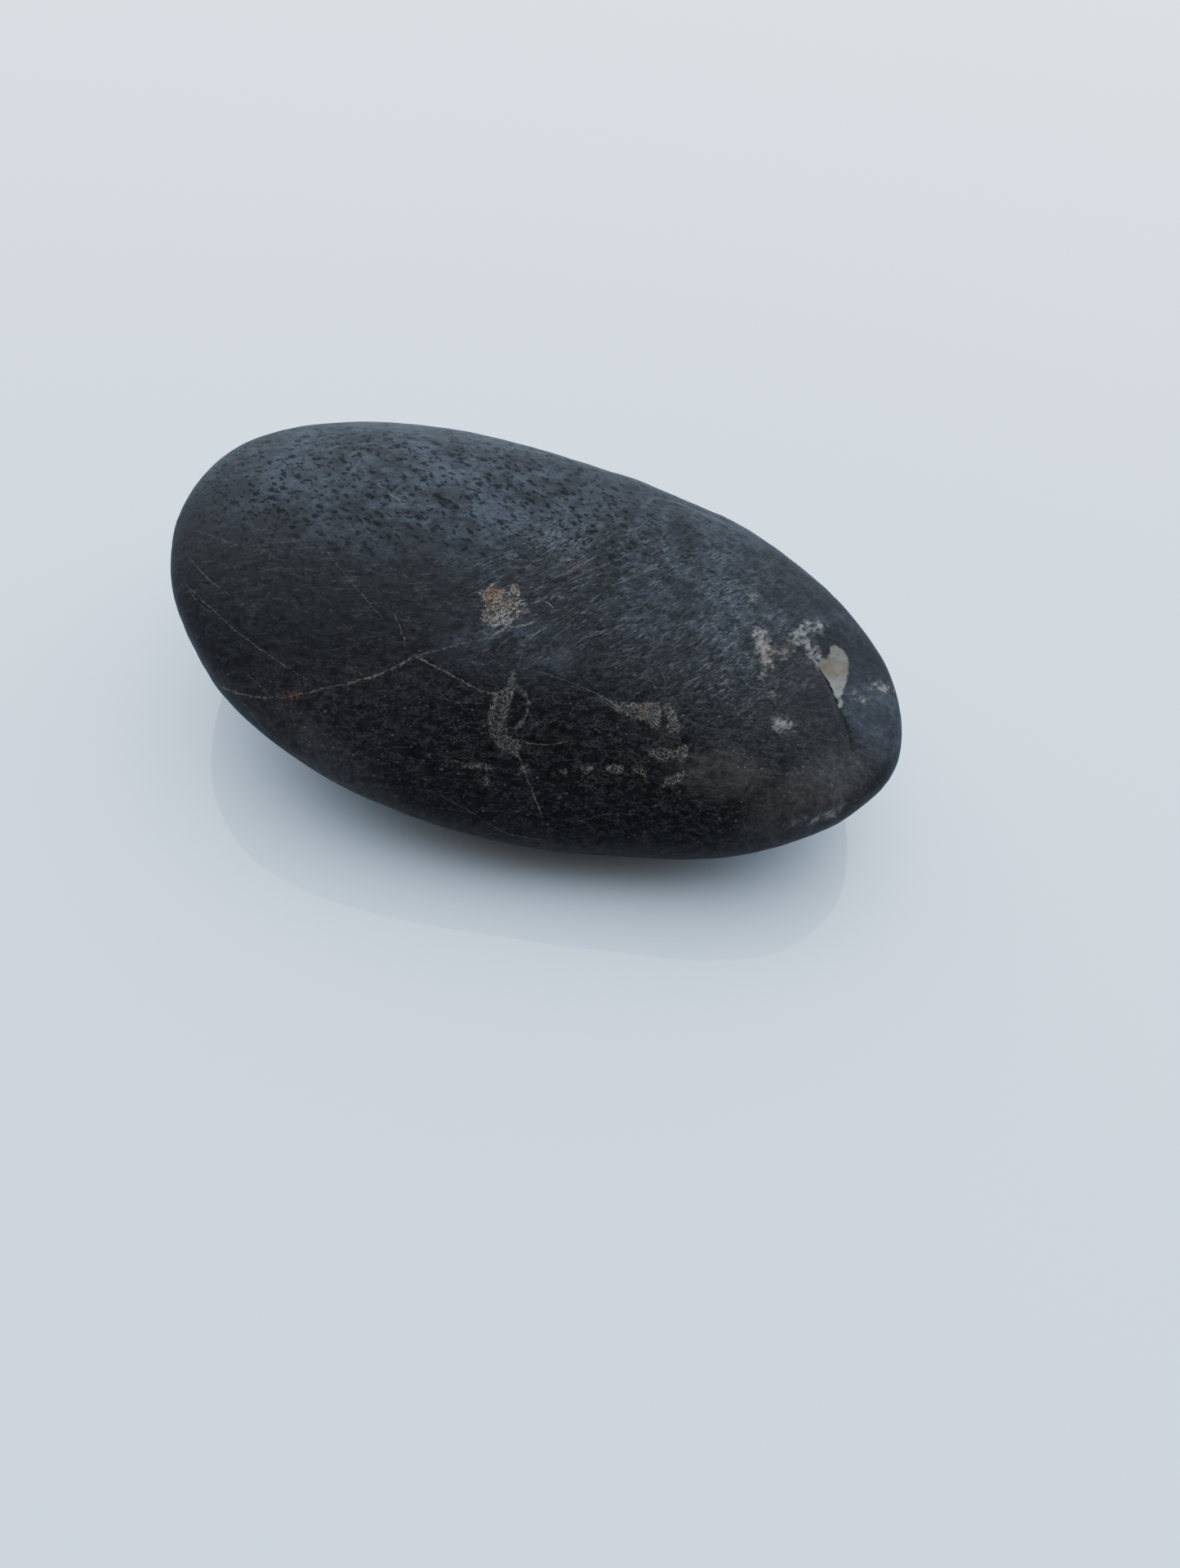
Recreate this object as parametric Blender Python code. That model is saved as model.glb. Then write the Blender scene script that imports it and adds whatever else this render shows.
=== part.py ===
"""River pebble: one dark, water-worn stone that lies on its broad side.

Run with blender --background --python part.py, or from Blender's text editor.
Metres, +Z up, +X along the stone's length towards its broad end. The origin is the middle of the
stone's footprint, on the surface that it rests on.

The stone is made as the river made it: a rounded blank is planed by soft flats, knocked into low
knuckles and dips, chipped along two edges, pressed into a shallow valley across the crown, and
worn to a small level seat underneath.
"""

import math
from typing import NamedTuple

import bmesh
import bpy
import numpy as np

MM = 0.001
NAME = "pebble"

# The blank: half its length and width, and its rise and drop from the widest level.
HALF_LENGTH = 52.0 * MM
HALF_WIDTH = 34.7 * MM
CROWN_RISE = 13.5 * MM
BELLY_DROP = 16.9 * MM
SQUARENESS = 2.3  # 2 is an ellipsoid, and more is boxier
WIDTH_TAPER = -0.06  # the share of width gained from the middle to the +X end
HEIGHT_TAPER = 0.05  # the same for height
BOW = 5.4 * MM  # how far both ends swing towards +Y
BOW_REST = 0.3  # the squared share of the length where the bow leaves the outline in place

FLAT_SOFTNESS = 3.0 * MM  # how gently a planed flat runs into the round
SEAT_DEPTH = 0.3 * MM  # worn off the lowest point, for a level resting face
SEAT_STEP = 0.5 * MM  # the least distance between two corners of the seat

FACES_PER_SIDE = 23  # of the six-sided grid that the blank starts as
REFINEMENTS = 2  # halvings of the grid along a chipped edge
REFINED_REACH = 2.2 * MM  # how far to each side of the edge


class Flat(NamedTuple):
    """A side that the river planed: where it faces, in degrees, and its distance from the middle."""

    azimuth: float
    elevation: float
    reach: float


class Knock(NamedTuple):
    """A low knuckle, or with a negative height a dip: its middle, its height and its radius."""

    x: float
    y: float
    z: float
    height: float
    radius: float


class Scar(NamedTuple):
    """A chip on the crown, low on the right of its ledge when that is walked along in plan."""

    ledge: tuple
    depth: float  # at the middle of the ledge
    ledge_width: float
    run_out: float  # how far from the ledge the chip fades into the round


class Waist(NamedTuple):
    """A shallow valley across the crown: its line in plan, its depth and its half width."""

    line: tuple
    depth: float
    half_width: float


FLATS = (
    Flat(94, 35, 27.5 * MM),  # back slope
    Flat(57, 22, 37.8 * MM),  # back, towards the broad end
    Flat(-71, 44, 21.8 * MM),  # broad front slope
    Flat(-147, -40, 36.9 * MM),  # under the narrow end
    Flat(144, 15, 51.3 * MM),  # back corner of the narrow end
    Flat(24, 10, 51.1 * MM),  # back corner of the broad end
    Flat(-65, 1, 35.1 * MM),  # front flank
    Flat(0, 74, 15.1 * MM),  # crown, falling to the broad end
    Flat(123, 63, 23.2 * MM),  # crown, falling to the back corner
)

KNOCKS = (
    Knock(51 * MM, 1.5 * MM, -2.5 * MM, 0.4 * MM, 5 * MM),  # tip of the broad end
    Knock(34 * MM, -20 * MM, -10 * MM, 0.3 * MM, 9 * MM),  # low on the front, at the broad end
    Knock(7 * MM, -31 * MM, -10 * MM, 0.2 * MM, 9 * MM),  # low on the front
    Knock(-16 * MM, -33 * MM, -6 * MM, -0.25 * MM, 8 * MM),  # dip in the front
    Knock(-45 * MM, -16 * MM, 4 * MM, -0.2 * MM, 10 * MM),  # front corner of the narrow end
    Knock(-49.5 * MM, 5 * MM, 4 * MM, 0.35 * MM, 8 * MM),  # tip of the narrow end
    Knock(-25 * MM, 22 * MM, 7 * MM, 0.2 * MM, 9 * MM),  # back, towards the narrow end
    Knock(38 * MM, 20 * MM, 2 * MM, 0.3 * MM, 7.5 * MM),  # back, towards the broad end
)

BROAD_END_SCAR = Scar(
    ledge=(
        (48.8 * MM, -5.3 * MM),
        (46.1 * MM, -3.9 * MM),
        (42.3 * MM, 1.0 * MM),
        (37.5 * MM, 6.3 * MM),
        (34.0 * MM, 10.0 * MM),
    ),
    depth=0.8 * MM,
    ledge_width=0.9 * MM,
    run_out=9.0 * MM,
)

BACK_SCAR = Scar(
    ledge=(
        (20.0 * MM, 21.5 * MM),
        (16.6 * MM, 22.2 * MM),
        (10.6 * MM, 21.6 * MM),
        (7.8 * MM, 20.1 * MM),
        (6.0 * MM, 15.1 * MM),
    ),
    depth=0.4 * MM,
    ledge_width=0.9 * MM,
    run_out=2.5 * MM,
)

WAIST = Waist(
    line=(
        (-5.3 * MM, 19.2 * MM),
        (-1.3 * MM, 7.4 * MM),
        (2.3 * MM, -6.3 * MM),
        (5.3 * MM, -13.9 * MM),
    ),
    depth=0.5 * MM,
    half_width=6.5 * MM,
)

OUTWARD_STRETCH = (1, 1, 2)  # the stone is twice as wide as high, so this squares a knock to it
CROWN_START = 4.0 * MM  # over the widest level, where chips and the valley are at full depth
END_FADE = 0.6  # below 1 a chip or valley keeps its depth nearer to its ends

STONE_COLOUR = (0.045, 0.05, 0.058, 1.0)
STONE_ROUGHNESS = 0.5


def facing(azimuth, elevation):
    """The unit direction with this azimuth from +X and this elevation, in degrees."""
    turn, lift = math.radians(azimuth), math.radians(elevation)
    return np.array(
        (math.cos(turn) * math.cos(lift), math.sin(turn) * math.cos(lift), math.sin(lift))
    )


def blank_points(directions):
    """The rounded blank's surface in these directions from its middle."""
    share = np.sum(np.abs(directions) ** SQUARENESS, axis=1) ** (-1 / SQUARENESS)
    along, across, up = (directions * share[:, None]).T
    x = HALF_LENGTH * along
    y = HALF_WIDTH * across * (1 + WIDTH_TAPER * along) + BOW * (along**2 - BOW_REST)
    z = np.where(up > 0, CROWN_RISE, BELLY_DROP) * up * (1 + HEIGHT_TAPER * along)
    return np.stack((x, y, z), axis=1)


def planed(points, flat):
    """The points with what stands past a flat pushed softly back to it."""
    normal = facing(flat.azimuth, flat.elevation)
    past = points @ normal - flat.reach
    push = FLAT_SOFTNESS * np.logaddexp(0, past / FLAT_SOFTNESS)
    return points - push[:, None] * normal


def knocked(points, before, knock):
    """The points with one knuckle or dip, measured on the surface as it was before any of them."""
    middle = np.array((knock.x, knock.y, knock.z))
    near = np.exp(-np.sum((before - middle) ** 2, axis=1) / knock.radius**2)
    outward = (middle - before.mean(axis=0)) * OUTWARD_STRETCH
    outward /= np.linalg.norm(outward)
    return points + (knock.height * near)[:, None] * outward


def beside_line(points, line):
    """How far along a plan line each point is, as a share, and how far to the right of it."""
    line = np.array(line)
    steps = np.diff(line, axis=0)
    lengths = np.hypot(steps[:, 0], steps[:, 1])
    starts = np.concatenate(((0,), np.cumsum(lengths)))
    nearest = np.full(len(points), np.inf)
    share, right = np.zeros(len(points)), np.zeros(len(points))
    for corner, step, length, start in zip(line, steps, lengths, starts):
        ahead = step / length
        offset = points[:, :2] - corner
        along = np.clip(offset @ ahead, 0, length)
        gap = np.linalg.norm(offset - along[:, None] * ahead, axis=1)
        side = np.where(offset @ (ahead[1], -ahead[0]) > 0, 1, -1)
        closer = gap < nearest
        nearest = np.where(closer, gap, nearest)
        share = np.where(closer, (start + along) / starts[-1], share)
        right = np.where(closer, side * gap, right)
    return share, right


def eased(share):
    """A smooth rise from 0 to 1 as the share goes from 0 to 1."""
    share = np.clip(share, 0, 1)
    return share * share * (3 - 2 * share)


def on_crown(points):
    """How far these points belong to the crown: 0 from the widest level down, and 1 well above."""
    return eased(points[:, 2] / CROWN_START)


def chipped(points, before, scar):
    """The points with one chip sunk into the crown, deepest beside the middle of its ledge."""
    share, right = beside_line(before, scar.ledge)
    ends = np.sin(np.pi * share) ** END_FADE
    step = eased(right / scar.ledge_width + 0.5)
    fade = np.exp(-((np.maximum(right, 0) / scar.run_out) ** 2))
    drop = scar.depth * ends * step * fade * on_crown(before)
    return points - drop[:, None] * (0, 0, 1)


def waisted(points, before, waist):
    """The points with the valley pressed into the crown."""
    share, right = beside_line(before, waist.line)
    ends = np.sin(np.pi * share) ** END_FADE
    drop = waist.depth * ends * np.exp(-((right / waist.half_width) ** 2)) * on_crown(before)
    return points - drop[:, None] * (0, 0, 1)


def stone_points(directions):
    """The worn stone's surface in these directions, about the blank's middle."""
    points = blank_points(directions)
    for flat in FLATS:
        points = planed(points, flat)
    before = points.copy()
    for knock in KNOCKS:
        points = knocked(points, before, knock)
    for scar in (BROAD_END_SCAR, BACK_SCAR):
        points = chipped(points, before, scar)
    return waisted(points, before, WAIST)


def unit_rows(rows):
    """These rows as an array, each scaled to length 1."""
    rows = np.array(rows)
    return rows / np.linalg.norm(rows, axis=1)[:, None]


def grid_sphere():
    """A unit sphere of even triangles, as a bmesh."""
    grid = bmesh.new()
    bmesh.ops.create_cube(grid, size=2)
    bmesh.ops.subdivide_edges(grid, edges=grid.edges, cuts=FACES_PER_SIDE - 1, use_grid_fill=True)
    for vertex in grid.verts:
        vertex.co = [math.tan(c * math.pi / 4) for c in vertex.co]
        vertex.co.normalize()
    bmesh.ops.triangulate(grid, faces=grid.faces, quad_method="SHORT_EDGE")
    return grid


def refine_along(grid, line):
    """Halves the grid's faces that end up on the crown beside this plan line."""
    points = stone_points(unit_rows([face.calc_center_median() for face in grid.faces]))
    _, right = beside_line(points, line)
    near = (np.abs(right) < REFINED_REACH) & (points[:, 2] > 0)
    for face, close in zip(grid.faces, near):
        face.tag = bool(close)
    edges = [edge for edge in grid.edges if any(face.tag for face in edge.link_faces)]
    bmesh.ops.subdivide_edges(grid, edges=edges, cuts=1)
    bmesh.ops.triangulate(grid, faces=grid.faces)
    for vertex in grid.verts:
        vertex.co.normalize()


def cut_seat(grid):
    """Cuts the belly level and closes it with one flat face."""
    floor = min(vertex.co.z for vertex in grid.verts) + SEAT_DEPTH
    parts = grid.verts[:] + grid.edges[:] + grid.faces[:]
    bmesh.ops.bisect_plane(
        grid, geom=parts, plane_co=(0, 0, floor), plane_no=(0, 0, -1), clear_outer=True
    )
    rim = [vertex for vertex in grid.verts if vertex.is_boundary]
    bmesh.ops.remove_doubles(grid, verts=rim, dist=SEAT_STEP)
    rim_edges = [edge for edge in grid.edges if edge.is_boundary]
    return bmesh.ops.contextual_create(grid, geom=rim_edges)["faces"][0]


def move_to_origin(grid):
    """Moves the stone so that the origin is the middle of its footprint, on its resting face."""
    points = np.array([vertex.co for vertex in grid.verts])
    low, high = points.min(axis=0), points.max(axis=0)
    shift = (-(low[0] + high[0]) / 2, -(low[1] + high[1]) / 2, -low[2])
    bmesh.ops.translate(grid, verts=grid.verts, vec=shift)


def stone_mesh():
    """The stone's closed mesh."""
    grid = grid_sphere()
    for _ in range(REFINEMENTS):
        for scar in (BROAD_END_SCAR, BACK_SCAR):
            refine_along(grid, scar.ledge)
    points = stone_points(unit_rows([vertex.co for vertex in grid.verts]))
    for vertex, place in zip(grid.verts, points):
        vertex.co = place
    for face in grid.faces:
        face.smooth = True
    cut_seat(grid).smooth = False
    move_to_origin(grid)
    bmesh.ops.recalc_face_normals(grid, faces=grid.faces)
    mesh = bpy.data.meshes.new(NAME)
    grid.to_mesh(mesh)
    grid.free()
    return mesh


def stone_material():
    """Dark fine-grained stone with a dull polish."""
    material = bpy.data.materials.new("dark_stone")
    material.use_nodes = True
    shader = material.node_tree.nodes["Principled BSDF"]
    shader.inputs["Base Color"].default_value = STONE_COLOUR
    shader.inputs["Roughness"].default_value = STONE_ROUGHNESS
    shader.inputs["Metallic"].default_value = 0.0
    return material


def main():
    """Clears the scene and builds the pebble."""
    for old in list(bpy.data.objects):
        bpy.data.objects.remove(old)
    pebble = bpy.data.objects.new(NAME, stone_mesh())
    pebble.data.materials.append(stone_material())
    bpy.context.scene.collection.objects.link(pebble)


main()
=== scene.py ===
import logging
import math
from dataclasses import dataclass, field
from enum import Enum

import bmesh
import bpy
import numpy as np
from mathutils import Matrix, Vector, noise
from mathutils.bvhtree import BVHTree


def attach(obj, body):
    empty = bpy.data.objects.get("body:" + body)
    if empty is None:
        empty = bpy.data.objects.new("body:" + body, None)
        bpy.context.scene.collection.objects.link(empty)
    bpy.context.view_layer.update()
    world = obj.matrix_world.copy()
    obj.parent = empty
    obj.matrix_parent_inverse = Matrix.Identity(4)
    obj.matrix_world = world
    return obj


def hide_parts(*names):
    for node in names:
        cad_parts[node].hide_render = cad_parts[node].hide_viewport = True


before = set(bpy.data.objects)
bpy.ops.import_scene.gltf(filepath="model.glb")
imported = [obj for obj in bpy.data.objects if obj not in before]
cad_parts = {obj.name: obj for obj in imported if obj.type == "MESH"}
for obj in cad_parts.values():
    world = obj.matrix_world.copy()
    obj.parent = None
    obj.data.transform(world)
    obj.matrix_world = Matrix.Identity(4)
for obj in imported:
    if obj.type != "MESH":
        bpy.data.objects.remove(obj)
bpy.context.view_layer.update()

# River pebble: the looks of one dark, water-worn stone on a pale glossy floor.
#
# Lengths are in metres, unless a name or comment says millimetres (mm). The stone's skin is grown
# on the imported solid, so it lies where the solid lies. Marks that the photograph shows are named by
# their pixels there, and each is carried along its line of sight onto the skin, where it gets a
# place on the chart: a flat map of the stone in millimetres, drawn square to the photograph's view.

log = logging.getLogger("pebble")

MM = 0.001
NODE = "pebble"
SLOT = "dark_stone"
BODY = "root"

Pixel = tuple[float, float]
Triple = tuple[float, float, float]
Colour = tuple[float, float, float, float]
Socket = bpy.types.NodeSocket
Value = float | Triple | Colour | Socket


@dataclass(frozen=True)
class Viewpoint:
    """Where the photograph was taken from.

    Args:
        place: the lens, in metres.
        azimuth: how far it looks to the left of +Y, in degrees.
        pitch: how far it looks down, in degrees.
        roll: how far it is turned about its own line of sight, in degrees.
        focal: its focal length, in pixels of the photograph.
        size: the photograph's width and height, in pixels.
        sensor: the sensor's long side, in millimetres.
    """

    place: Triple = (51.3 * MM, -109.2 * MM, 118.3 * MM)
    azimuth: float = 19.55
    pitch: float = 47.85
    roll: float = -8.68
    focal: float = 1443.0
    size: tuple[int, int] = (1445, 1920)
    sensor: float = 36.0

    def axes(self) -> tuple[Vector, Vector, Vector]:
        """Finds the photograph's own directions.

        Returns:
            Unit vectors to the photograph's right, to its top, and back towards the lens.
        """
        turn, tip, roll = (math.radians(a) for a in (self.azimuth, self.pitch, self.roll))
        ahead = Vector(
            (-math.sin(turn) * math.cos(tip), math.cos(turn) * math.cos(tip), -math.sin(tip))
        )
        level = Vector((math.cos(turn), math.sin(turn), 0.0))
        down = ahead.cross(level)
        right = math.cos(roll) * level + math.sin(roll) * down
        up = math.sin(roll) * level - math.cos(roll) * down
        return right, up, -ahead

    def sight(self, pixel: Pixel) -> Vector:
        """Finds the line of sight through a pixel.

        Args:
            pixel: its place in the photograph, across and down.

        Returns:
            The unit direction from the lens.
        """
        right, up, back = self.axes()
        across = (pixel[0] - self.size[0] / 2) / self.focal
        down = (pixel[1] - self.size[1] / 2) / self.focal
        return (across * right - down * up - back).normalized()

    def build(self) -> bpy.types.Object:
        """Makes the camera.

        Returns:
            The camera, which the scene then looks through.
        """
        right, up, back = self.axes()
        lens = bpy.data.cameras.new("photograph_camera")
        lens.sensor_width = self.sensor
        lens.lens = self.focal / max(self.size) * self.sensor
        lens.clip_start = 5 * MM
        camera = bpy.data.objects.new("photograph_camera", lens)
        turned = Matrix((right, up, back)).transposed().to_4x4()
        camera.matrix_world = Matrix.Translation(self.place) @ turned
        bpy.context.scene.collection.objects.link(camera)
        bpy.context.scene.camera = camera
        return camera


@dataclass(frozen=True)
class Chart:
    """The flat map of the stone, square to the photograph's view, in millimetres.

    Args:
        view: the photograph's viewpoint.
        origin: the point of the stone that is the map's origin, in metres.
    """

    view: Viewpoint
    origin: Triple = (0.0, 0.0, 14.6 * MM)

    def turn(self) -> Matrix:
        """The rotation from the stone's own axes to the chart's."""
        return Matrix(self.view.axes())

    def place(self, points: np.ndarray) -> np.ndarray:
        """Charts points of the stone.

        Args:
            points: one row each, in metres.

        Returns:
            One row each: right, up and towards the lens, in millimetres.
        """
        return (points - np.array(self.origin)) @ np.array(self.turn()).T / MM


class Mineral(Enum):
    """What a patch in the stone is made of."""

    CREAM = "cream"
    SAND = "sand"
    MICA = "mica"
    HAZE = "haze"
    RUST = "rust"


class Zone(Enum):
    """A part of the stone with a surface of its own; the dark zone is painted shade, and the bluish
    zone also paints sheen.
    """

    FLECKED = "flecked"
    STREAKED = "streaked"
    SCRATCHED = "scratched"
    DUSTY = "dusty"
    # blue clouding, which on the lit upper lobes is also painted sheen
    BLUE_AND_SHEEN = "bluish"
    # painted shade, on the front that faces away from the light and beside a ledge
    DARK = "dark"
    EARTHY = "earthy"


class Tint(Enum):
    """Whether a line is paler than the stone, or a darker line of painted shadow."""

    PALE = "pale"
    DARK = "dark"


@dataclass(frozen=True)
class Vein:
    """A hairline of pale mineral, a scratch, the painted highlight on a ledge's rim, or the painted
    shadow at a ledge's foot.

    Args:
        pixels: points along it, which a smooth curve joins.
        width: in millimetres.
        strength: how far it covers the stone, from 0 to 1.
        tint: paler or darker than the stone.
    """

    pixels: tuple[Pixel, ...]
    width: float = 0.2
    strength: float = 0.5
    tint: Tint = Tint.PALE


@dataclass(frozen=True)
class Patch:
    """An inclusion of another mineral.

    Args:
        mineral: what it is made of.
        pixels: its outline.
        worn: how far inwards its colour has worn away, in millimetres, or outwards if negative.
    """

    mineral: Mineral
    pixels: tuple[Pixel, ...]
    worn: float = 0.0


@dataclass(frozen=True)
class Area:
    """A soft-edged oval of the stone that belongs to a zone.

    Args:
        zone: the zone.
        middle: its middle pixel.
        radii: its half length and half width, in millimetres.
        lean: how far its length leans down to the right, in degrees.
    """

    zone: Zone
    middle: Pixel
    radii: tuple[float, float]
    lean: float = 12.0


@dataclass(frozen=True)
class Ledge:
    """A sharp chipped edge, low on the right when its pixels are walked along.

    Args:
        pixels: the line that it follows.
        depth: how much lower the low side is just there than the solid has it, in millimetres.
        width: of the drop, in millimetres.
        run_out: how far the extra depth fades out, in millimetres.
    """

    pixels: tuple[Pixel, ...]
    depth: float
    width: float
    run_out: float


@dataclass(frozen=True)
class Seam:
    """A thin flat sheet of pale mineral that crosses the stone.

    Args:
        way: the chart's direction that it lies across.
        level: how far out it lies that way, in millimetres.
        half_width: half its thickness, in millimetres.
    """

    way: Triple
    level: float
    half_width: float


VEINS = (
    # the long vein across the narrow end and its forks
    Vein(
        ((269, 840), (308, 853), (356, 852), (411, 840), (457, 828), (485, 817), (508, 803)),
        0.34, 0.68,
    ),
    Vein(((508, 803), (541, 795), (573, 786)), 0.3, 0.5),
    Vein(((505, 802), (545, 822), (589, 845), (606, 848), (627, 843)), 0.32, 0.75),
    Vein(((482, 750), (493, 775), (496, 794)), 0.3, 0.45),
    Vein(((299, 823), (312, 834), (331, 853)), 0.2, 0.5),
    Vein(((421, 813), (438, 823), (449, 828)), 0.18, 0.4),
    Vein(((271, 836), (279, 826), (292, 822)), 0.16, 0.35),
    # scratches on the narrow end
    Vein(((230, 681), (257, 710), (283, 730)), 0.2, 0.45),
    Vein(((228, 713), (243, 738), (272, 760)), 0.18, 0.35),
    Vein(((232, 720), (262, 748), (295, 777), (338, 808), (384, 837)), 0.22, 0.5),
    Vein(((240, 650), (299, 668), (384, 660)), 0.2, 0.3),
    Vein(((398, 673), (431, 714), (470, 759)), 0.18, 0.32),
    Vein(((455, 589), (470, 598), (495, 618)), 0.34, 0.5),
    Vein(((295, 857), (318, 887), (335, 903), (358, 920), (379, 933)), 0.2, 0.4),
    # squiggles round the middle
    Vein(((537, 854), (566, 861), (598, 861)), 0.2, 0.45),
    Vein(((585, 772), (604, 777), (622, 768), (640, 766), (657, 759)), 0.3, 0.85),
    Vein(((642, 779), (656, 776), (671, 767)), 0.28, 0.7),
    Vein(((597, 772), (600, 762), (606, 756)), 0.24, 0.6),
    Vein(((648, 740), (666, 736), (682, 748)), 0.2, 0.6),
    Vein(((631, 835), (647, 864), (629, 898)), 0.6, 0.85),
    Vein(((633, 907), (665, 912), (699, 907)), 0.24, 0.6),
    Vein(((648, 887), (668, 888), (687, 877)), 0.18, 0.45),
    Vein(((633, 919), (649, 962), (664, 1000)), 0.28, 0.7),
    Vein(((690, 704), (715, 690), (742, 676), (764, 671)), 0.3, 0.4),
    Vein(((702, 709), (728, 696), (758, 685)), 0.24, 0.35),
    # the painted highlight along the rim of the ledge at the back
    Vein(((788, 621), (799, 610), (816, 611), (846, 622), (876, 637)), 0.4, 0.22),
    # lines that run to the broad end
    Vein(((648, 819), (680, 829), (716, 843), (745, 858), (766, 873)), 0.2, 0.5),
    Vein(((630, 768), (639, 795), (633, 824)), 0.5, 0.16),
    Vein(((908, 1004), (912, 1013), (914, 1022)), 0.26, 0.4),
    Vein(((720, 887), (756, 907), (787, 930)), 0.18, 0.4),
    Vein(((768, 824), (785, 830), (802, 835)), 0.2, 0.45),
    Vein(((788, 824), (800, 838), (807, 848)), 0.24, 0.5),
    Vein(((806, 812), (813, 830), (814, 852)), 0.22, 0.35),
    Vein(((925, 826), (936, 832), (944, 843), (952, 851)), 0.2, 0.45),
    Vein(((921, 842), (950, 845), (945, 858)), 0.2, 0.5),
    Vein(((869, 916), (886, 922), (903, 928)), 0.2, 0.4),
    Vein(((1041, 849), (1051, 852), (1061, 854)), 0.34, 0.4),
    Vein(((1063, 951), (1071, 946), (1079, 943)), 0.16, 0.4),
    # low on the front
    Vein(((537, 973), (575, 993), (613, 1017), (638, 1024), (667, 1028)), 0.2, 0.4),
    Vein(((703, 1007), (745, 997), (787, 998)), 0.16, 0.3),
    Vein(((957, 950), (994, 946), (1030, 940)), 0.16, 0.25),
    # the painted shadow at the foot of the broad end's ledge
    Vein(((1000, 813), (1011, 829), (1020, 847), (1028, 871)), 0.8, 1.0, Tint.DARK),
    Vein(((1028, 869), (1036, 881), (1045, 923)), 0.75, 0.7, Tint.DARK),
)

PATCHES = (
    Patch(Mineral.RUST, ((343, 851), (358, 847), (372, 848), (366, 855), (350, 858))),
    Patch(
        Mineral.SAND,
        ((590, 724), (603, 718), (622, 722), (632, 717), (641, 736), (648, 746), (636, 752),
         (627, 762), (610, 764), (596, 764), (592, 750), (588, 736)),
    ),
    Patch(
        Mineral.CREAM,
        ((1019, 790), (1030, 794), (1039, 809), (1039, 826), (1034, 845), (1032, 863), (1028, 863),
         (1021, 841), (1012, 826), (1003, 817), (1003, 807), (1014, 806)),
    ),
    Patch(
        Mineral.SAND,
        ((932, 780), (939, 776), (944, 792), (944, 812), (939, 824), (934, 818), (934, 800)),
    ),
    Patch(Mineral.RUST, ((933, 798), (941, 797), (942, 812), (935, 813))),
    Patch(Mineral.RUST, ((703, 689), (710, 688), (711, 695), (704, 695))),
    Patch(Mineral.RUST, ((948, 801), (958, 792), (968, 789), (962, 799))),
    Patch(Mineral.RUST, ((594, 724), (603, 717), (614, 722), (612, 735), (603, 742), (596, 738))),
    Patch(Mineral.RUST, ((783, 866), (793, 865), (793, 872), (785, 873))),
    # the crescent
    Patch(
        Mineral.MICA,
        ((628, 822), (629, 842), (622, 863), (615, 887), (622, 900), (635, 913), (630, 922),
         (613, 915), (602, 897), (600, 873), (609, 851), (626, 840)),
        worn=-0.2,
    ),
    # the triangle and the fragments round it
    Patch(
        Mineral.MICA,
        ((736, 855), (748, 860), (776, 862), (807, 859), (809, 878), (806, 893), (787, 882),
         (762, 874), (750, 867)),
    ),
    Patch(
        Mineral.MICA,
        ((815, 853), (824, 867), (832, 883), (834, 898), (815, 899), (818, 883), (812, 868)),
        worn=0.15,
    ),
    Patch(
        Mineral.MICA,
        ((789, 921), (807, 917), (827, 918), (841, 911), (843, 924), (837, 933), (827, 926),
         (813, 932), (801, 927)),
    ),
    Patch(
        Mineral.MICA,
        ((811, 950), (824, 951), (838, 943), (834, 954), (826, 960), (812, 962), (817, 955)),
    ),
    # the chain along the front
    Patch(
        Mineral.MICA,
        ((672, 935), (690, 938), (702, 932), (699, 944), (697, 960), (684, 950)),
        worn=0.55,
    ),
    Patch(
        Mineral.MICA,
        ((704, 940), (712, 930), (724, 931), (733, 943), (719, 953), (708, 948)),
        worn=0.45,
    ),
    Patch(
        Mineral.MICA,
        ((734, 936), (752, 929), (768, 936), (771, 949), (752, 953), (738, 946)),
        worn=0.5,
    ),
    Patch(
        Mineral.MICA,
        ((769, 937), (782, 931), (793, 942), (795, 960), (783, 953), (773, 946)),
        worn=0.45,
    ),
    Patch(Mineral.MICA, ((630, 938), (648, 930), (657, 940), (650, 954), (638, 950)), worn=0.5),
    Patch(
        Mineral.MICA,
        ((541, 933), (560, 928), (575, 933), (592, 929), (605, 936), (617, 950), (598, 946),
         (566, 942)),
        worn=0.4,
    ),
    Patch(Mineral.MICA, ((585, 946), (600, 944), (606, 957), (597, 971), (587, 961)), worn=0.55),
    # clouds of white at the broad end
    Patch(
        Mineral.HAZE,
        ((921, 770), (932, 763), (941, 768), (948, 795), (947, 815), (940, 829), (932, 824),
         (928, 798)),
        worn=0.2,
    ),
    Patch(
        Mineral.HAZE,
        ((966, 796), (970, 777), (980, 763), (998, 758), (1009, 766), (1006, 776), (992, 773),
         (982, 786)),
    ),
    Patch(
        Mineral.HAZE,
        ((980, 781), (992, 784), (1004, 796), (1012, 807), (1004, 818), (991, 803)),
    ),
    Patch(Mineral.HAZE, ((953, 802), (966, 792), (971, 797), (959, 808))),
    Patch(
        Mineral.HAZE,
        ((943, 880), (958, 875), (975, 883), (984, 880), (972, 896), (955, 902), (946, 892)),
        worn=0.4,
    ),
    Patch(Mineral.HAZE, ((1068, 837), (1085, 838), (1096, 845), (1085, 849), (1072, 843))),
    Patch(
        Mineral.HAZE,
        ((1036, 846), (1048, 844), (1063, 851), (1060, 859), (1043, 858)),
        worn=0.3,
    ),
    Patch(
        Mineral.HAZE,
        ((963, 1009), (1001, 1001), (1019, 990), (1034, 985), (1021, 999), (1000, 1007)),
    ),
    Patch(Mineral.HAZE, ((916, 722), (927, 721), (928, 731), (918, 732))),
)

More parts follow.
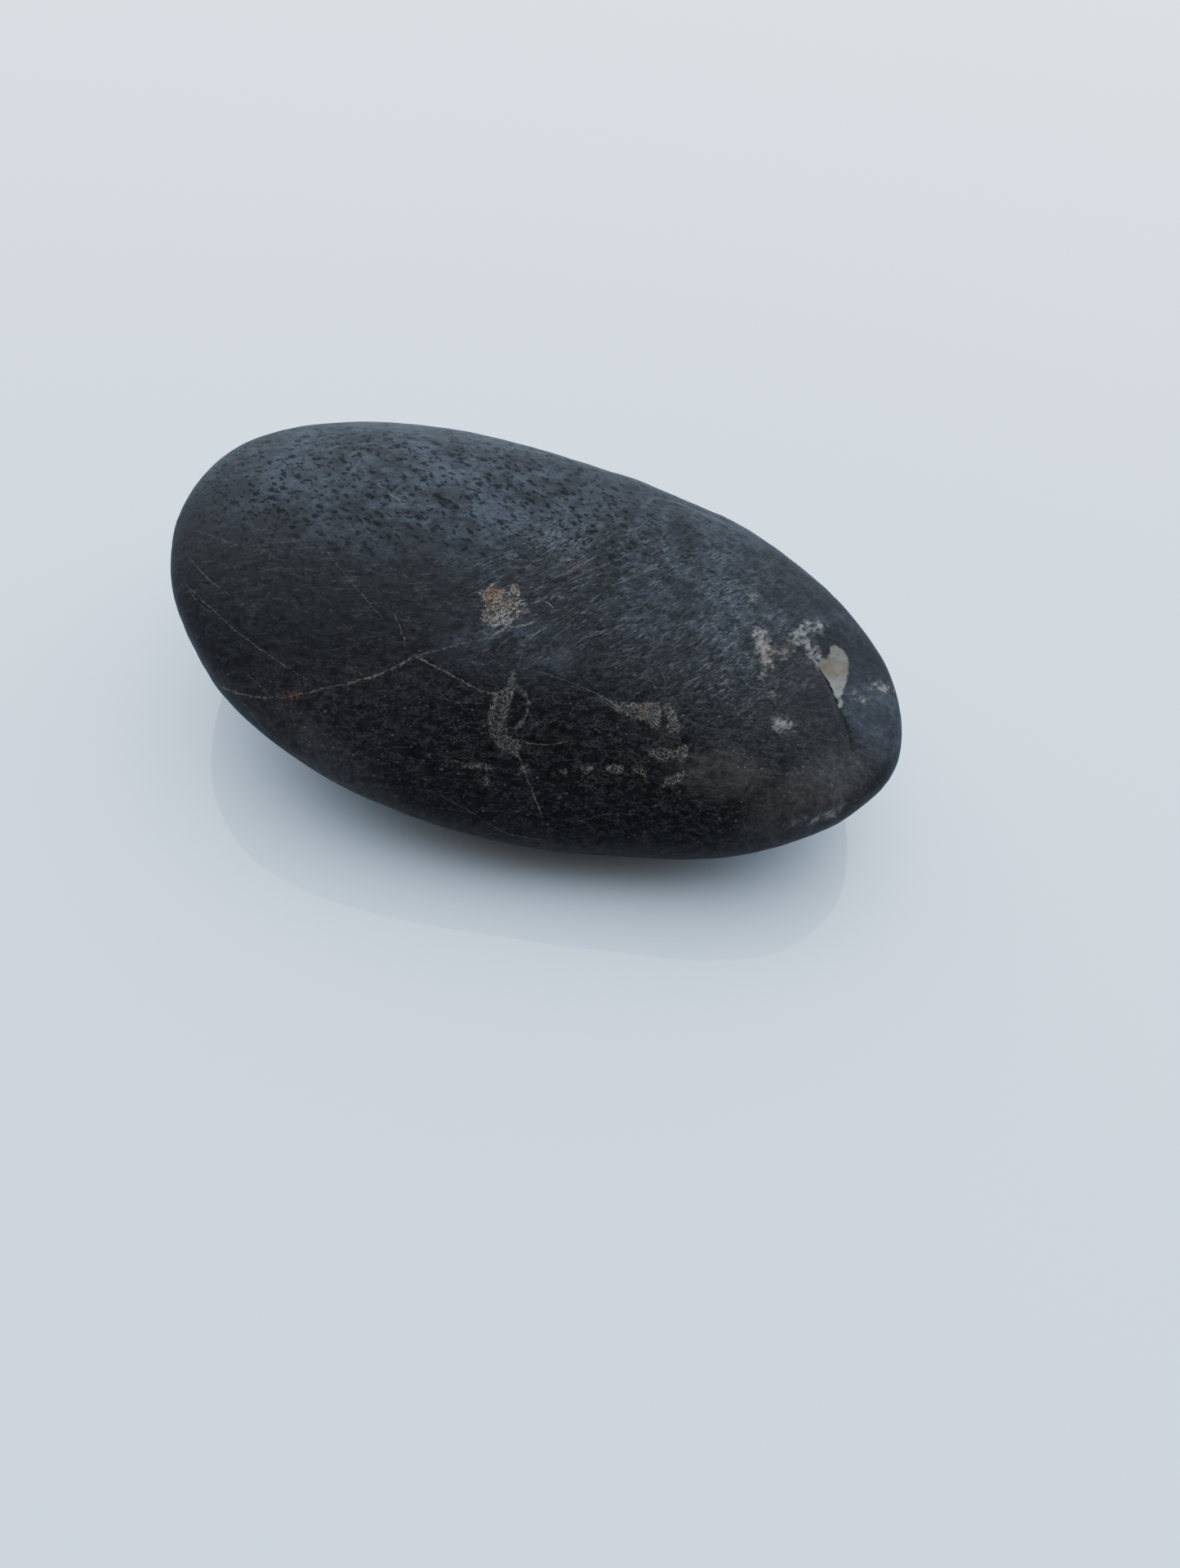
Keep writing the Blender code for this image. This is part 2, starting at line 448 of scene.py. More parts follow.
AREAS = (
    Area(Zone.FLECKED, (560, 600), (42.0, 13.0)),
    Area(Zone.FLECKED, (400, 600), (24.0, 13.0)),
    Area(Zone.STREAKED, (835, 750), (20.0, 16.0), 20.0),
    Area(Zone.STREAKED, (690, 690), (14.0, 9.0), -20.0),
    Area(Zone.SCRATCHED, (420, 740), (32.0, 14.0)),
    Area(Zone.SCRATCHED, (960, 880), (20.0, 13.0)),
    Area(Zone.DUSTY, (720, 930), (42.0, 14.0), 10.0),
    Area(Zone.DUSTY, (420, 895), (18.0, 6.5), 25.0),
    Area(Zone.DUSTY, (885, 948), (9.0, 5.0), 0.0),
    # painted shade: the dark areas darken the front, which faces away from the light, and the step
    # beside the broad end's ledge
    Area(Zone.DARK, (715, 940), (34.0, 12.5), 8.0),
    Area(Zone.DARK, (1046, 902), (4.5, 1.5), 70.0),
    Area(Zone.DARK, (325, 885), (9.0, 3.5), 35.0),
    Area(Zone.EARTHY, (355, 915), (15.0, 5.0), 30.0),
    Area(Zone.EARTHY, (990, 978), (11.0, 4.5), -30.0),
    Area(Zone.EARTHY, (885, 948), (7.0, 3.5), 0.0),
    # the bluish areas are blue clouding that also paints the sheen of the lit upper lobes
    Area(Zone.BLUE_AND_SHEEN, (1070, 868), (8.0, 5.5), 60.0),
    Area(Zone.BLUE_AND_SHEEN, (520, 585), (40.0, 14.0)),
    Area(Zone.BLUE_AND_SHEEN, (860, 705), (18.0, 15.0), 20.0),
    Area(Zone.BLUE_AND_SHEEN, (625, 798), (9.0, 5.0)),
    Area(Zone.STREAKED, (622, 796), (6.0, 4.0)),
    Area(Zone.BLUE_AND_SHEEN, (1020, 775), (5.0, 4.0)),
)

LEDGES = (
    Ledge(
        ((1043, 934), (1046, 916), (1037, 884), (1029, 867), (1023, 847), (1014, 829), (1001, 812)),
        0.7, 0.45, 2.2,
    ),
    Ledge(((880, 636), (830, 614), (803, 607), (792, 620), (771, 615)), 0.4, 0.4, 1.6),
)

# on the hidden sides
SEAMS = (
    Seam((0.86, 0.4, 0.3), -19.0, 0.16),
    Seam((0.25, 0.3, 0.92), -9.0, 0.12),
    Seam((-0.5, 0.8, 0.34), 15.0, 0.2),
    Seam((0.72, -0.2, -0.66), 21.0, 0.12),
)

OWN_MASKS = ("shown", "flank", "chipped")
MASK_DEPTH = 9.0  # mm, a patch's depth where there is none
ROUGHNESS_HEIGHTS = {Mineral.CREAM: 0.10, Mineral.SAND: 0.12, Mineral.MICA: 0.05}  # mm
VEIN_REACH = 1.1  # mm, how far from a line the skin knows of it
VEIN_CORE = 0.6  # mm, how far from a line it is drawn in full
VEIN_FADE = 0.8  # mm, in which a line's ends fade

PATCH_EDGE = 0.8  # mm, in which the roughness of a patch starts
GRAIN_SIZE = 0.9  # mm, of that roughness
SHOWN_FROM, SHOWN_FADE = 0.02, 0.2  # cosines, how squarely the shown side faces the lens
FLANK_FROM, FLANK_FADE = -0.4, 0.9  # cosines, how steeply the flanks, which are painted lighter, look down
AREA_CORE, AREA_FADE = 0.35, 0.85  # the full part of an area and the part where it fades
CHIP_STRETCH = 2.4  # how much further than a ledge's relief the chipped surface reaches

ROUNDING = 0.75  # how far each flat face of the solid is rounded
SMOOTHING = 0.5  # how far each pass takes a corner towards its neighbours
PUSH_BACK = 1.02  # how much further each second pass pushes it out again
LEDGE_KEEP = 0.85  # how far the smoothing spares the ledges
LEDGE_KEEP_REACH = 2.0  # mm, how far from them
REST_FADE = 1.5 * MM  # the height in which the relief starts above the seat


def eased(share: np.ndarray) -> np.ndarray:
    """A smooth rise from 0 to 1 as each share goes from 0 to 1."""
    share = np.clip(share, 0.0, 1.0)
    return share * share * (3.0 - 2.0 * share)


def beside_line(points: np.ndarray, line: np.ndarray) -> tuple[np.ndarray, np.ndarray]:
    """Measures points against a line of straight steps on the chart.

    Args:
        points: one row each, of which the first two columns count.
        line: its corners, one row each.

    Returns:
        How far along the line each point is, from 0 to 1, and how far to its right.
    """
    steps = np.diff(line, axis=0)
    lengths = np.hypot(steps[:, 0], steps[:, 1])
    starts = np.concatenate(((0.0,), np.cumsum(lengths)))
    nearest = np.full(len(points), np.inf)
    share, right = np.zeros(len(points)), np.zeros(len(points))
    for corner, step, length, start in zip(line, steps, lengths, starts):
        ahead = step / length
        offset = points[:, :2] - corner
        along = np.clip(offset @ ahead, 0.0, length)
        gap = np.linalg.norm(offset - along[:, None] * ahead, axis=1)
        side = np.where(offset @ (ahead[1], -ahead[0]) > 0, 1.0, -1.0)
        closer = gap < nearest
        nearest = np.where(closer, gap, nearest)
        share = np.where(closer, (start + along) / starts[-1], share)
        right = np.where(closer, side * gap, right)
    return share, right


def curve_through(points: np.ndarray, steps: int = 6) -> np.ndarray:
    """Joins points by a smooth curve.

    Args:
        points: one row each.
        steps: straight steps from each point to the next.

    Returns:
        The curve's own points.
    """
    before, after = 2 * points[0] - points[1], 2 * points[-1] - points[-2]
    ring = np.vstack((before, points, after))
    t = np.linspace(0.0, 1.0, steps, endpoint=False)[:, None]
    spans = [
        b + 0.5 * t * ((c - a) + t * (2 * a - 5 * b + 4 * c - d + t * (3 * b - a - 3 * c + d)))
        for a, b, c, d in zip(ring, ring[1:], ring[2:], ring[3:])
    ]
    return np.vstack((*spans, points[-1:]))


def inside_outline(points: np.ndarray, outline: np.ndarray) -> np.ndarray:
    """Measures how deep points lie inside an outline on the chart.

    Args:
        points: one row each, of which the first two columns count.
        outline: its corners, one row each.

    Returns:
        The distance from the outline for each point, negative outside it.
    """
    depth = np.full(len(points), np.inf)
    inside = np.zeros(len(points), bool)
    for start, end in zip(outline, np.roll(outline, -1, axis=0)):
        step = end - start
        offset = points[:, :2] - start
        along = np.clip(offset @ step / (step @ step), 0.0, 1.0)
        depth = np.minimum(depth, np.linalg.norm(offset - along[:, None] * step, axis=1))
        spans = (start[1] > points[:, 1]) != (end[1] > points[:, 1])
        rise = np.where(spans, (points[:, 1] - start[1]) / (step[1] or 1.0), 0.0)
        inside ^= spans & (offset[:, 0] < rise * step[0])
    return np.where(inside, depth, -depth)


@dataclass
class StoneSkin:
    """The stone's fine skin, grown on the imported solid.

    Args:
        chart: the flat map that places the marks.
        cells: how many faces the skin's grid has along X, Y and Z.
        heart: the point inside the stone that the grid is thrown outwards from.
        reach: the half sizes of the oval that the grid is thrown along.
        smoothings: passes that take the solid's facets away.
        swells: the wavelength and height of each size of swell in the surface, in millimetres.
    """

    chart: Chart
    cells: tuple[int, int, int] = (208, 134, 58)
    heart: Triple = (0.0, 0.0, 14.6 * MM)
    reach: Triple = (51.5 * MM, 33.3 * MM, 14.6 * MM)
    smoothings: int = 14
    swells: tuple[tuple[float, float], ...] = ((14.0, 0.16), (6.0, 0.09), (2.6, 0.04), (1.2, 0.02))
    layers: list[str] = field(init=False, default_factory=list)
    charted: np.ndarray = field(init=False)
    shown: np.ndarray = field(init=False)
    piece: bpy.types.Object = field(init=False)
    tree: BVHTree = field(init=False)

    def grid(self) -> tuple[np.ndarray, np.ndarray]:
        """Makes a closed box of square faces.

        Returns:
            The corners, from -1 to 1 along each axis, and the faces' corner numbers.
        """
        corners, faces, count = [], [], 0
        for axis in range(3):
            u, v = (axis + 1) % 3, (axis + 2) % 3
            steps = (self.cells[u] + 1, self.cells[v] + 1)
            i, j = np.meshgrid(np.arange(steps[0]), np.arange(steps[1]), indexing="ij")
            number = np.arange(steps[0] * steps[1]).reshape(steps)
            ring = (number[:-1, :-1], number[1:, :-1], number[1:, 1:], number[:-1, 1:])
            quads = np.stack(ring, axis=-1).reshape(-1, 4)
            for level in (0, self.cells[axis]):
                side = np.empty(steps + (3,), int)
                side[..., axis], side[..., u], side[..., v] = level, i, j
                corners.append(side.reshape(-1, 3))
                faces.append((quads if level else quads[:, ::-1]) + count)
                count += number.size
        places, numbers = np.unique(np.concatenate(corners), axis=0, return_inverse=True)
        quads = numbers.reshape(-1)[np.concatenate(faces)]
        return 2.0 * places / np.array(self.cells) - 1.0, quads

    def solid(self) -> bmesh.types.BMesh:
        """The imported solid's faces, with the corners that its file keeps apart joined again."""
        solid = bmesh.new()
        solid.from_mesh(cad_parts[NODE].data)
        bmesh.ops.remove_doubles(solid, verts=solid.verts, dist=0.001 * MM)
        solid.normal_update()
        return solid

    def cast(self, solid: bmesh.types.BMesh, ways: np.ndarray) -> np.ndarray:
        """Throws the grid onto the solid, rounding each of its flat faces.

        Args:
            solid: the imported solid.
            ways: one direction from the heart for each corner.

        Returns:
            The corners' places.
        """
        bmesh.ops.triangulate(solid, faces=solid.faces)
        solid.faces.ensure_lookup_table()
        tree = BVHTree.FromBMesh(solid)
        heart = Vector(self.heart)
        places = []
        for way in ways:
            hit, _, number, _ = tree.ray_cast(heart, Vector(way))
            ring = [vertex for vertex in solid.faces[number].verts]
            shares = barycentric(hit, [vertex.co for vertex in ring])
            rounded = Vector((0.0, 0.0, 0.0))
            for vertex, share in zip(ring, shares):
                rounded += share * (hit - (hit - vertex.co).dot(vertex.normal) * vertex.normal)
            places.append(hit.lerp(rounded, ROUNDING))
        return np.array(places)

    def smoothed(self, places: np.ndarray, faces: np.ndarray, keep: np.ndarray) -> np.ndarray:
        """Takes the last of the facets away.

        Args:
            places: the corners' places.
            faces: the faces' corner numbers.
            keep: how far each corner holds its place, from 0 to 1.

        Returns:
            The smoothed places.
        """
        first = faces.reshape(-1)
        second = np.roll(faces, -1, axis=1).reshape(-1)
        number = np.bincount(first, minlength=len(places))[:, None]
        weight = SMOOTHING * (1.0 - keep)[:, None]
        for step in range(2 * self.smoothings):
            around = np.stack(
                [np.bincount(first, places[second, k], len(places)) for k in range(3)], axis=1
            )
            # every second pass pushes out again, so that the stone doesn't shrink
            push = 1.0 if step % 2 == 0 else -PUSH_BACK
            places = places + push * weight * (around / number - places)
        return places

    def pixel_places(self, pixels: tuple[Pixel, ...]) -> np.ndarray:
        """Carries pixels of the photograph onto the skin.

        Args:
            pixels: their places in the photograph.

        Returns:
            How far right and up they lie on the chart, one row each.
        """
        view = self.chart.view
        hits = [self.tree.ray_cast(Vector(view.place), view.sight(p))[0] for p in pixels]
        missed = [p for p, hit in zip(pixels, hits) if hit is None]
        if missed:
            raise ValueError(f"these pixels miss the stone: {missed}")
        return self.chart.place(np.array(hits))[:, :2]

    def low_side(self, ledge: Ledge, stretch: float = 1.0) -> np.ndarray:
        """Finds the low side of a ledge.

        Args:
            ledge: the ledge.
            stretch: how much further than the ledge's own run-out it reaches.

        Returns:
            How far each corner is part of it, from 0 to 1.
        """
        share, right = beside_line(self.charted, self.pixel_places(ledge.pixels))
        ends = np.sin(np.pi * share) ** 0.5
        step = eased(right / ledge.width + 0.5)
        return ends * step * np.exp(-((np.maximum(right, 0.0) / ledge.run_out / stretch) ** 2))

    def relief(self, places: np.ndarray) -> np.ndarray:
        """Works out how far the real surface stands off the smooth one.

        Args:
            places: the corners' places.

        Returns:
            The height at each corner, in millimetres.
        """
        height = np.zeros(len(places))
        points = [Vector(p) for p in places / MM]
        for wave, rise in self.swells:
            height += rise * np.array([noise.noise(p / wave) for p in points])
        for ledge in LEDGES:
            height -= ledge.depth * self.low_side(ledge) * self.shown
        rough = np.array([noise.fractal(p / GRAIN_SIZE, 0.8, 2.0, 3) for p in points])
        for patch in PATCHES:
            inside = inside_outline(self.charted, self.pixel_places(patch.pixels))
            sunk = eased(inside / PATCH_EDGE + 0.5) * self.shown
            height += sunk * ROUGHNESS_HEIGHTS.get(patch.mineral, 0.0) * (rough - 0.5)
        return height

    def masks(self, normals: np.ndarray) -> dict[str, np.ndarray]:
        """Measures the minerals and the zones at each corner.

        Args:
            normals: the corners' normals.

        Returns:
            For each mineral the depth inside its patches, in millimetres, and for each zone how
            far the corner belongs to it, from 0 to 1.
        """
        count, shown = len(normals), self.shown
        masks = {mineral.value: np.full(count, -MASK_DEPTH) for mineral in Mineral}
        masks.update({zone.value: np.zeros(count) for zone in Zone})
        for patch in PATCHES:
            inside = inside_outline(self.charted, self.pixel_places(patch.pixels))
            inside = np.where(shown > 0.5, inside - patch.worn, -MASK_DEPTH)
            mask = masks[patch.mineral.value]
            masks[patch.mineral.value] = np.maximum(mask, inside)
        for area in AREAS:
            middle = self.pixel_places((area.middle,))[0]
            lean = math.radians(-area.lean)
            ahead = np.array((math.cos(lean), math.sin(lean)))
            across = np.array((-ahead[1], ahead[0]))
            offset = self.charted[:, :2] - middle
            out = np.hypot(offset @ ahead / area.radii[0], offset @ across / area.radii[1])
            mask = masks[area.zone.value]
            belongs = (1.0 - eased((out - AREA_CORE) / AREA_FADE)) * shown
            masks[area.zone.value] = np.maximum(mask, belongs)
        low = [self.low_side(ledge, CHIP_STRETCH) for ledge in LEDGES]
        masks["chipped"] = np.max(low, axis=0) * shown
        masks["shown"] = shown
        masks["flank"] = 1.0 - eased((normals[:, 2] - FLANK_FROM) / FLANK_FADE)
        return masks

    def vein_layers(self) -> dict[str, np.ndarray]:
        """Measures each corner against the lines, which are dealt into layers of separate lines.

        Returns:
            The layers. In each, a corner has how far it lies across the nearest line, in half
            widths of that line, and how far the line covers the stone there, from 0 to 1.
        """
        charted, shown = self.charted, self.shown
        layers: dict[Tint, list[np.ndarray]] = {tint: [] for tint in Tint}
        for vein in VEINS:
            line = curve_through(self.pixel_places(vein.pixels))
            low, high = line.min(axis=0) - VEIN_REACH, line.max(axis=0) + VEIN_REACH
            near = np.all((charted[:, :2] > low) & (charted[:, :2] < high), axis=1)
            near = np.flatnonzero(near & (shown > 0.0))
            share, right = beside_line(charted[near], line)
            length = np.hypot(*np.diff(line, axis=0).T).sum()
            ends = eased(np.minimum(share, 1.0 - share) * length / VEIN_FADE)
            close = 1.0 - eased((np.abs(right) - VEIN_CORE) / (VEIN_REACH - VEIN_CORE))
            cover = vein.strength * ends * close * shown[near]
            made = np.stack((2.0 * right / vein.width, cover, np.zeros(len(near))), axis=1)
            made[cover <= 0.0] = 0.0
            for layer in layers[vein.tint]:
                if not np.any((layer[near, 1] > 0.0) & (cover > 0.0)):
                    layer[near] += made
                    break
            else:
                fresh = np.zeros((len(charted), 3))
                fresh[near] = made
                layers[vein.tint].append(fresh)
        named = {}
        for tint, group in layers.items():
            named.update({f"{tint.value}_lines_{k}": layer for k, layer in enumerate(group)})
        log.info("line layers: %s", ", ".join(named))
        return named

    def build(self) -> bpy.types.Object:
        """Grows the skin on the solid and measures its masks.

        Returns:
            The stone.
        """
        corners, faces = self.grid()
        ways = np.tan(corners * math.pi / 4)
        ways /= np.linalg.norm(ways, axis=1)[:, None]
        solid = self.solid()
        places = self.cast(solid, ways * np.array(self.reach))
        self.tree = BVHTree.FromBMesh(solid)
        solid.free()

        charted = self.chart.place(places)
        keep = np.zeros(len(places))
        for ledge in LEDGES:
            _, right = beside_line(charted, self.pixel_places(ledge.pixels))
            keep = np.maximum(keep, 1.0 - eased(np.abs(right) / LEDGE_KEEP_REACH))
        keep = np.where(charted[:, 2] > 0, LEDGE_KEEP * keep, 0.0)
        places = self.smoothed(places, faces, keep)
        places[:, 2] = np.maximum(places[:, 2], 0.0)

        mesh = bpy.data.meshes.new("pebble_stone")
        mesh.from_pydata(places.tolist(), [], faces.tolist())
        normals = np.array([vertex.normal for vertex in mesh.vertices])
        facing = normals @ np.array(self.chart.view.axes()[2])
        self.charted = self.chart.place(places)
        self.shown = eased((facing - SHOWN_FROM) / SHOWN_FADE)
        height = self.relief(places) * MM
        resting = eased(places[:, 2] / REST_FADE)
        raised = places + (height * resting)[:, None] * normals
        mesh.vertices.foreach_set("co", raised.reshape(-1))
        for name, values in self.masks(normals).items():
            mesh.attributes.new(name, "FLOAT", "POINT").data.foreach_set("value", values)
        for name, values in self.vein_layers().items():
            layer = mesh.attributes.new(name, "FLOAT_VECTOR", "POINT")
            layer.data.foreach_set("vector", values.reshape(-1))
            self.layers.append(name)
        mesh.shade_smooth()
        mesh.update()
        self.piece = bpy.data.objects.new("pebble_stone", mesh)
        bpy.context.scene.collection.objects.link(self.piece)
        log.info("stone skin: %d faces", len(mesh.polygons))
        return self.piece


def barycentric(point: Vector, corners: list[Vector]) -> tuple[float, float, float]:
    """Finds a point's place in a triangle.

    Args:
        point: a point in the triangle.
        corners: its three corners.

    Returns:
        The share of each corner.
    """
    a, b, c = corners
    normal = (b - a).cross(c - a)
    whole = normal.length_squared
    first = (c - b).cross(point - b).dot(normal) / whole
    second = (a - c).cross(point - c).dot(normal) / whole
    return first, second, 1.0 - first - second


class Tree:
    """Short calls for the shader nodes that the finishes are made of."""

    def __init__(self, tree: bpy.types.NodeTree) -> None:
        """Takes the node tree that the calls add to."""
        self.tree = tree

    def add(self, kind: str, **settings: object) -> bpy.types.Node:
        """Adds a node.

        Args:
            kind: its type, without the leading ShaderNode.
            settings: its properties.

        Returns:
            The node.
        """
        made = self.tree.nodes.new("ShaderNode" + kind)
        for name, value in settings.items():
            setattr(made, name, value)
        return made

    def put(self, value: Value, socket: Socket) -> None:
        """Links a socket to another one, or sets its own number or colour."""
        if isinstance(value, bpy.types.NodeSocket):
            self.tree.links.new(value, socket)
        else:
            socket.default_value = value

    def math(self, operation: str, *values: Value, clamp: bool = False) -> Socket:
        """Adds a Math node.

        Args:
            operation: what it does.
            values: its inputs, in order.
            clamp: keeps the result from 0 to 1.

        Returns:
            Its result.
        """
        made = self.add("Math", operation=operation, use_clamp=clamp)
        for value, socket in zip(values, made.inputs):
            self.put(value, socket)
        return made.outputs[0]

    def vector(self, operation: str, *values: Value) -> bpy.types.Node:
        """Adds a Vector Math node with these inputs, in order."""
        made = self.add("VectorMath", operation=operation)
        for value, socket in zip(values, made.inputs):
            self.put(value, socket)
        return made

    def times(self, one: Value, two: Value) -> Socket:
        """The product of two values."""
        return self.math("MULTIPLY", one, two)

    def most(self, *values: Value) -> Value:
        """The largest of some values, or 0 if there are none."""
        largest = values[0] if values else 0.0
        for value in values[1:]:
            largest = self.math("MAXIMUM", largest, value)
        return largest

    def ramp(self, value: Value, low: Value, high: Value, *ends: Value) -> Socket:
        """Adds a smooth ramp.

        Args:
            value: what it reads.
            low: where the ramp starts.
            high: where it ends.
            ends: its results there, 0 and 1 unless given.

        Returns:
            Its result.
        """
        made = self.add("MapRange", interpolation_type="SMOOTHSTEP")
        names = ("Value", "From Min", "From Max", "To Min", "To Max")
        for name, given in zip(names, (value, low, high, *ends)):
            self.put(given, made.inputs[name])
        return made.outputs["Result"]

    def noise(self, vector: Socket, scale: float, detail: float = 2.0, **more: float) -> Socket:
        """Adds a noise texture.

        Args:
            vector: where it is read.
            scale: its waves to a unit of the vector.
            detail: how many finer octaves it has.
            more: other inputs, by their names.

        Returns:
            Its value, from 0 to 1.
        """
        made = self.add("TexNoise")
        self.put(vector, made.inputs["Vector"])
        for name, given in {"Scale": scale, "Detail": detail, **more}.items():
            self.put(given, made.inputs[name])
        return made.outputs[0]

    def mix(self, share: Value, one: Value, two: Value, blend: str = "MIX") -> Socket:
        """Mixes two colours.

        Args:
            share: how much of the second colour shows, from 0 to 1.
            one: the first colour.
            two: the second colour.
            blend: how they are mixed.

        Returns:
            The mixed colour.
        """
        made = self.add("Mix", data_type="RGBA", blend_type=blend)
        for value, number in ((share, 0), (one, 6), (two, 7)):
            self.put(value, made.inputs[number])
        return made.outputs[2]

    def mapped(self, vector: Socket, kind: str, place: Triple, turn: Triple, size: Triple) -> Socket:
        """Moves, turns and scales a vector.

        Args:
            vector: the vector.
            kind: POINT, or TEXTURE for the way back.
            place: the shift.
            turn: the turn about X, Y and Z, in radians.
            size: the scale.

        Returns:
            The new vector.
        """
        made = self.add("Mapping", vector_type=kind)
        self.put(vector, made.inputs["Vector"])
        for name, given in (("Location", place), ("Rotation", turn), ("Scale", size)):
            self.put(given, made.inputs[name])
        return made.outputs["Vector"]

    def mask(self, name: str) -> Socket:
        """A measured mask of the mesh."""
        return self.add("Attribute", attribute_name=name).outputs["Fac"]


class Effect:
    """A shader node group with named inputs and one named output, built once."""

    title: str
    inlets: tuple[tuple[str, str, object], ...]
    outlet: str = "Mask"

    def __init__(self) -> None:
        """Starts with no group, which is built when it is first placed."""
        self.group: bpy.types.NodeTree | None = None

    def wire(self, tree: Tree, inlet: dict[str, Socket]) -> Socket:
        """Adds the effect's own nodes.

        Args:
            tree: the group's tree.
            inlet: the group's inputs, by name.

        Returns:
            The socket that the group puts out.
        """
        raise NotImplementedError

    def build(self) -> bpy.types.NodeTree:
        """Makes the group.

        Returns:
            Its node tree.
        """
        group = bpy.data.node_groups.new(self.title, "ShaderNodeTree")
        for name, kind, default in self.inlets:
            socket = group.interface.new_socket(name, in_out="INPUT", socket_type=kind)
            if default is not None:
                socket.default_value = default
        group.interface.new_socket(self.outlet, in_out="OUTPUT", socket_type="NodeSocketFloat")
        inside = Tree(group)
        entry = group.nodes.new("NodeGroupInput")
        leave = group.nodes.new("NodeGroupOutput")
        inlet = {name: entry.outputs[name] for name, _, _ in self.inlets}
        inside.put(self.wire(inside, inlet), leave.inputs[self.outlet])
        return group

    def place(self, tree: Tree, **values: Value) -> Socket:
        """Puts the effect into a material.

        Args:
            tree: the material's tree.
            values: the group's inputs, by name.

        Returns:
            What it puts out.
        """
        self.group = self.group or self.build()
        made = tree.add("Group", node_tree=self.group)
        for name, value in values.items():
            tree.put(value, made.inputs[name])
        return made.outputs[self.outlet]


NUMBER, VECTOR = "NodeSocketFloat", "NodeSocketVector"


class Hairline(Effect):
    """A thin line. Measure holds the half widths across it and how far it covers the stone."""

    title = "Hairline"
    inlets = (("Measure", VECTOR, None), ("Waver", NUMBER, 0.0))
    edge = (1.1, 0.1)  # half widths, where it starts and where it is full

    def wire(self, tree: Tree, inlet: dict[str, Socket]) -> Socket:
        """Adds the line's nodes. See Effect.wire."""
        parts = tree.add("SeparateXYZ")
        tree.put(inlet["Measure"], parts.inputs[0])
        off = tree.math("ABSOLUTE", tree.math("ADD", parts.outputs[0], inlet["Waver"]))
        return tree.times(tree.ramp(off, *self.edge), parts.outputs[1])


class Flecks(Effect):
    """Small separate spots. Place counts their spacings, and Share says how many there are."""

    title = "Flecks"
    inlets = (("Place", VECTOR, None), ("Radius", NUMBER, 0.3), ("Share", NUMBER, 0.5))
    smallest, growth = 0.45, 0.7  # of Radius: the smallest spot, and how much more the largest
    core = 0.35  # the part of it that is full

    def wire(self, tree: Tree, inlet: dict[str, Socket]) -> Socket:
        """Adds the spots' nodes. See Effect.wire."""
        spots = tree.add("TexVoronoi", feature="F1")
        tree.put(inlet["Place"], spots.inputs["Vector"])
        tree.put(1.0, spots.inputs["Scale"])
        picked = tree.add("SeparateXYZ")
        tree.put(spots.outputs["Color"], picked.inputs[0])
        there = tree.math("LESS_THAN", picked.outputs[0], inlet["Share"])
        size = tree.math("MULTIPLY_ADD", picked.outputs[1], self.growth, self.smallest)
        radius = tree.times(size, inlet["Radius"])
        core = tree.times(radius, self.core)
        return tree.times(tree.ramp(spots.outputs["Distance"], radius, core), there)


class Blotches(Effect):
    """Ragged spots where a noise rises over a level. Place counts their spacings."""

    title = "Blotches"
    inlets = (("Place", VECTOR, None), ("Level", NUMBER, 0.6), ("Softness", NUMBER, 0.06))

    def wire(self, tree: Tree, inlet: dict[str, Socket]) -> Socket:
        """Adds the spots' nodes. See Effect.wire."""
        waves = tree.noise(inlet["Place"], 1.0, 2.0, Roughness=0.6)
        top = tree.math("ADD", inlet["Level"], inlet["Softness"])
        return tree.ramp(waves, inlet["Level"], top)


class Fibres(Effect):
    """Broken wavy lines where a noise crosses its middle. Place counts their spacings."""

    title = "Fibres"
    inlets = (("Place", VECTOR, None), ("Thickness", NUMBER, 0.05), ("Share", NUMBER, 0.5))
    break_scale = 0.61  # of the noise that breaks the lines
    break_level, break_fade = 0.66, 0.08  # where it does, if Share is 0
    share_effect = -0.4  # how far Share shifts that level

    def wire(self, tree: Tree, inlet: dict[str, Socket]) -> Socket:
        """Adds the lines' nodes. See Effect.wire."""
        waves = tree.noise(inlet["Place"], 1.0, 2.0, Roughness=0.6, Distortion=0.1)
        off = tree.math("ABSOLUTE", tree.math("SUBTRACT", waves, 0.5))
        line = tree.ramp(off, inlet["Thickness"], 0.0)
        breaks = tree.noise(inlet["Place"], self.break_scale, 1.0)
        low = tree.math("MULTIPLY_ADD", inlet["Share"], self.share_effect, self.break_level)
        high = tree.math("ADD", low, self.break_fade)
        return tree.times(line, tree.ramp(breaks, low, high))


class RaggedEdge(Effect):
    """Fills a measured outline, with an edge that a noise frays."""

    title = "Ragged edge"
    inlets = (
        ("Inside", NUMBER, 0.0),
        ("Place", VECTOR, None),
        ("Fray", NUMBER, 0.5),
        ("Softness", NUMBER, 0.1),
    )

    def wire(self, tree: Tree, inlet: dict[str, Socket]) -> Socket:
        """Adds the edge's nodes. See Effect.wire."""
        waves = tree.noise(inlet["Place"], 1.0, 3.0, Roughness=0.65)
        shift = tree.times(tree.math("SUBTRACT", waves, 0.5), inlet["Fray"])
        edge = tree.math("ADD", inlet["Inside"], shift)
        low = tree.times(inlet["Softness"], -1.0)
        return tree.ramp(edge, low, inlet["Softness"])


HAIRLINE, FLECKS, BLOTCHES = Hairline(), Flecks(), Blotches()
FIBRES, RAGGED_EDGE = Fibres(), RaggedEdge()


@dataclass(frozen=True)
class Strokes:
    """Fibres that lie along one direction of the chart.

    Args:
        angle: their direction, in degrees up from the right.
        long: their usual length, in millimetres.
        wide: their usual spacing, in millimetres.
        thickness: how thick they are in that spacing.
        share: how many there are, from 0 to 1.
    """

    angle: float
    long: float
    wide: float
    thickness: float
    share: float


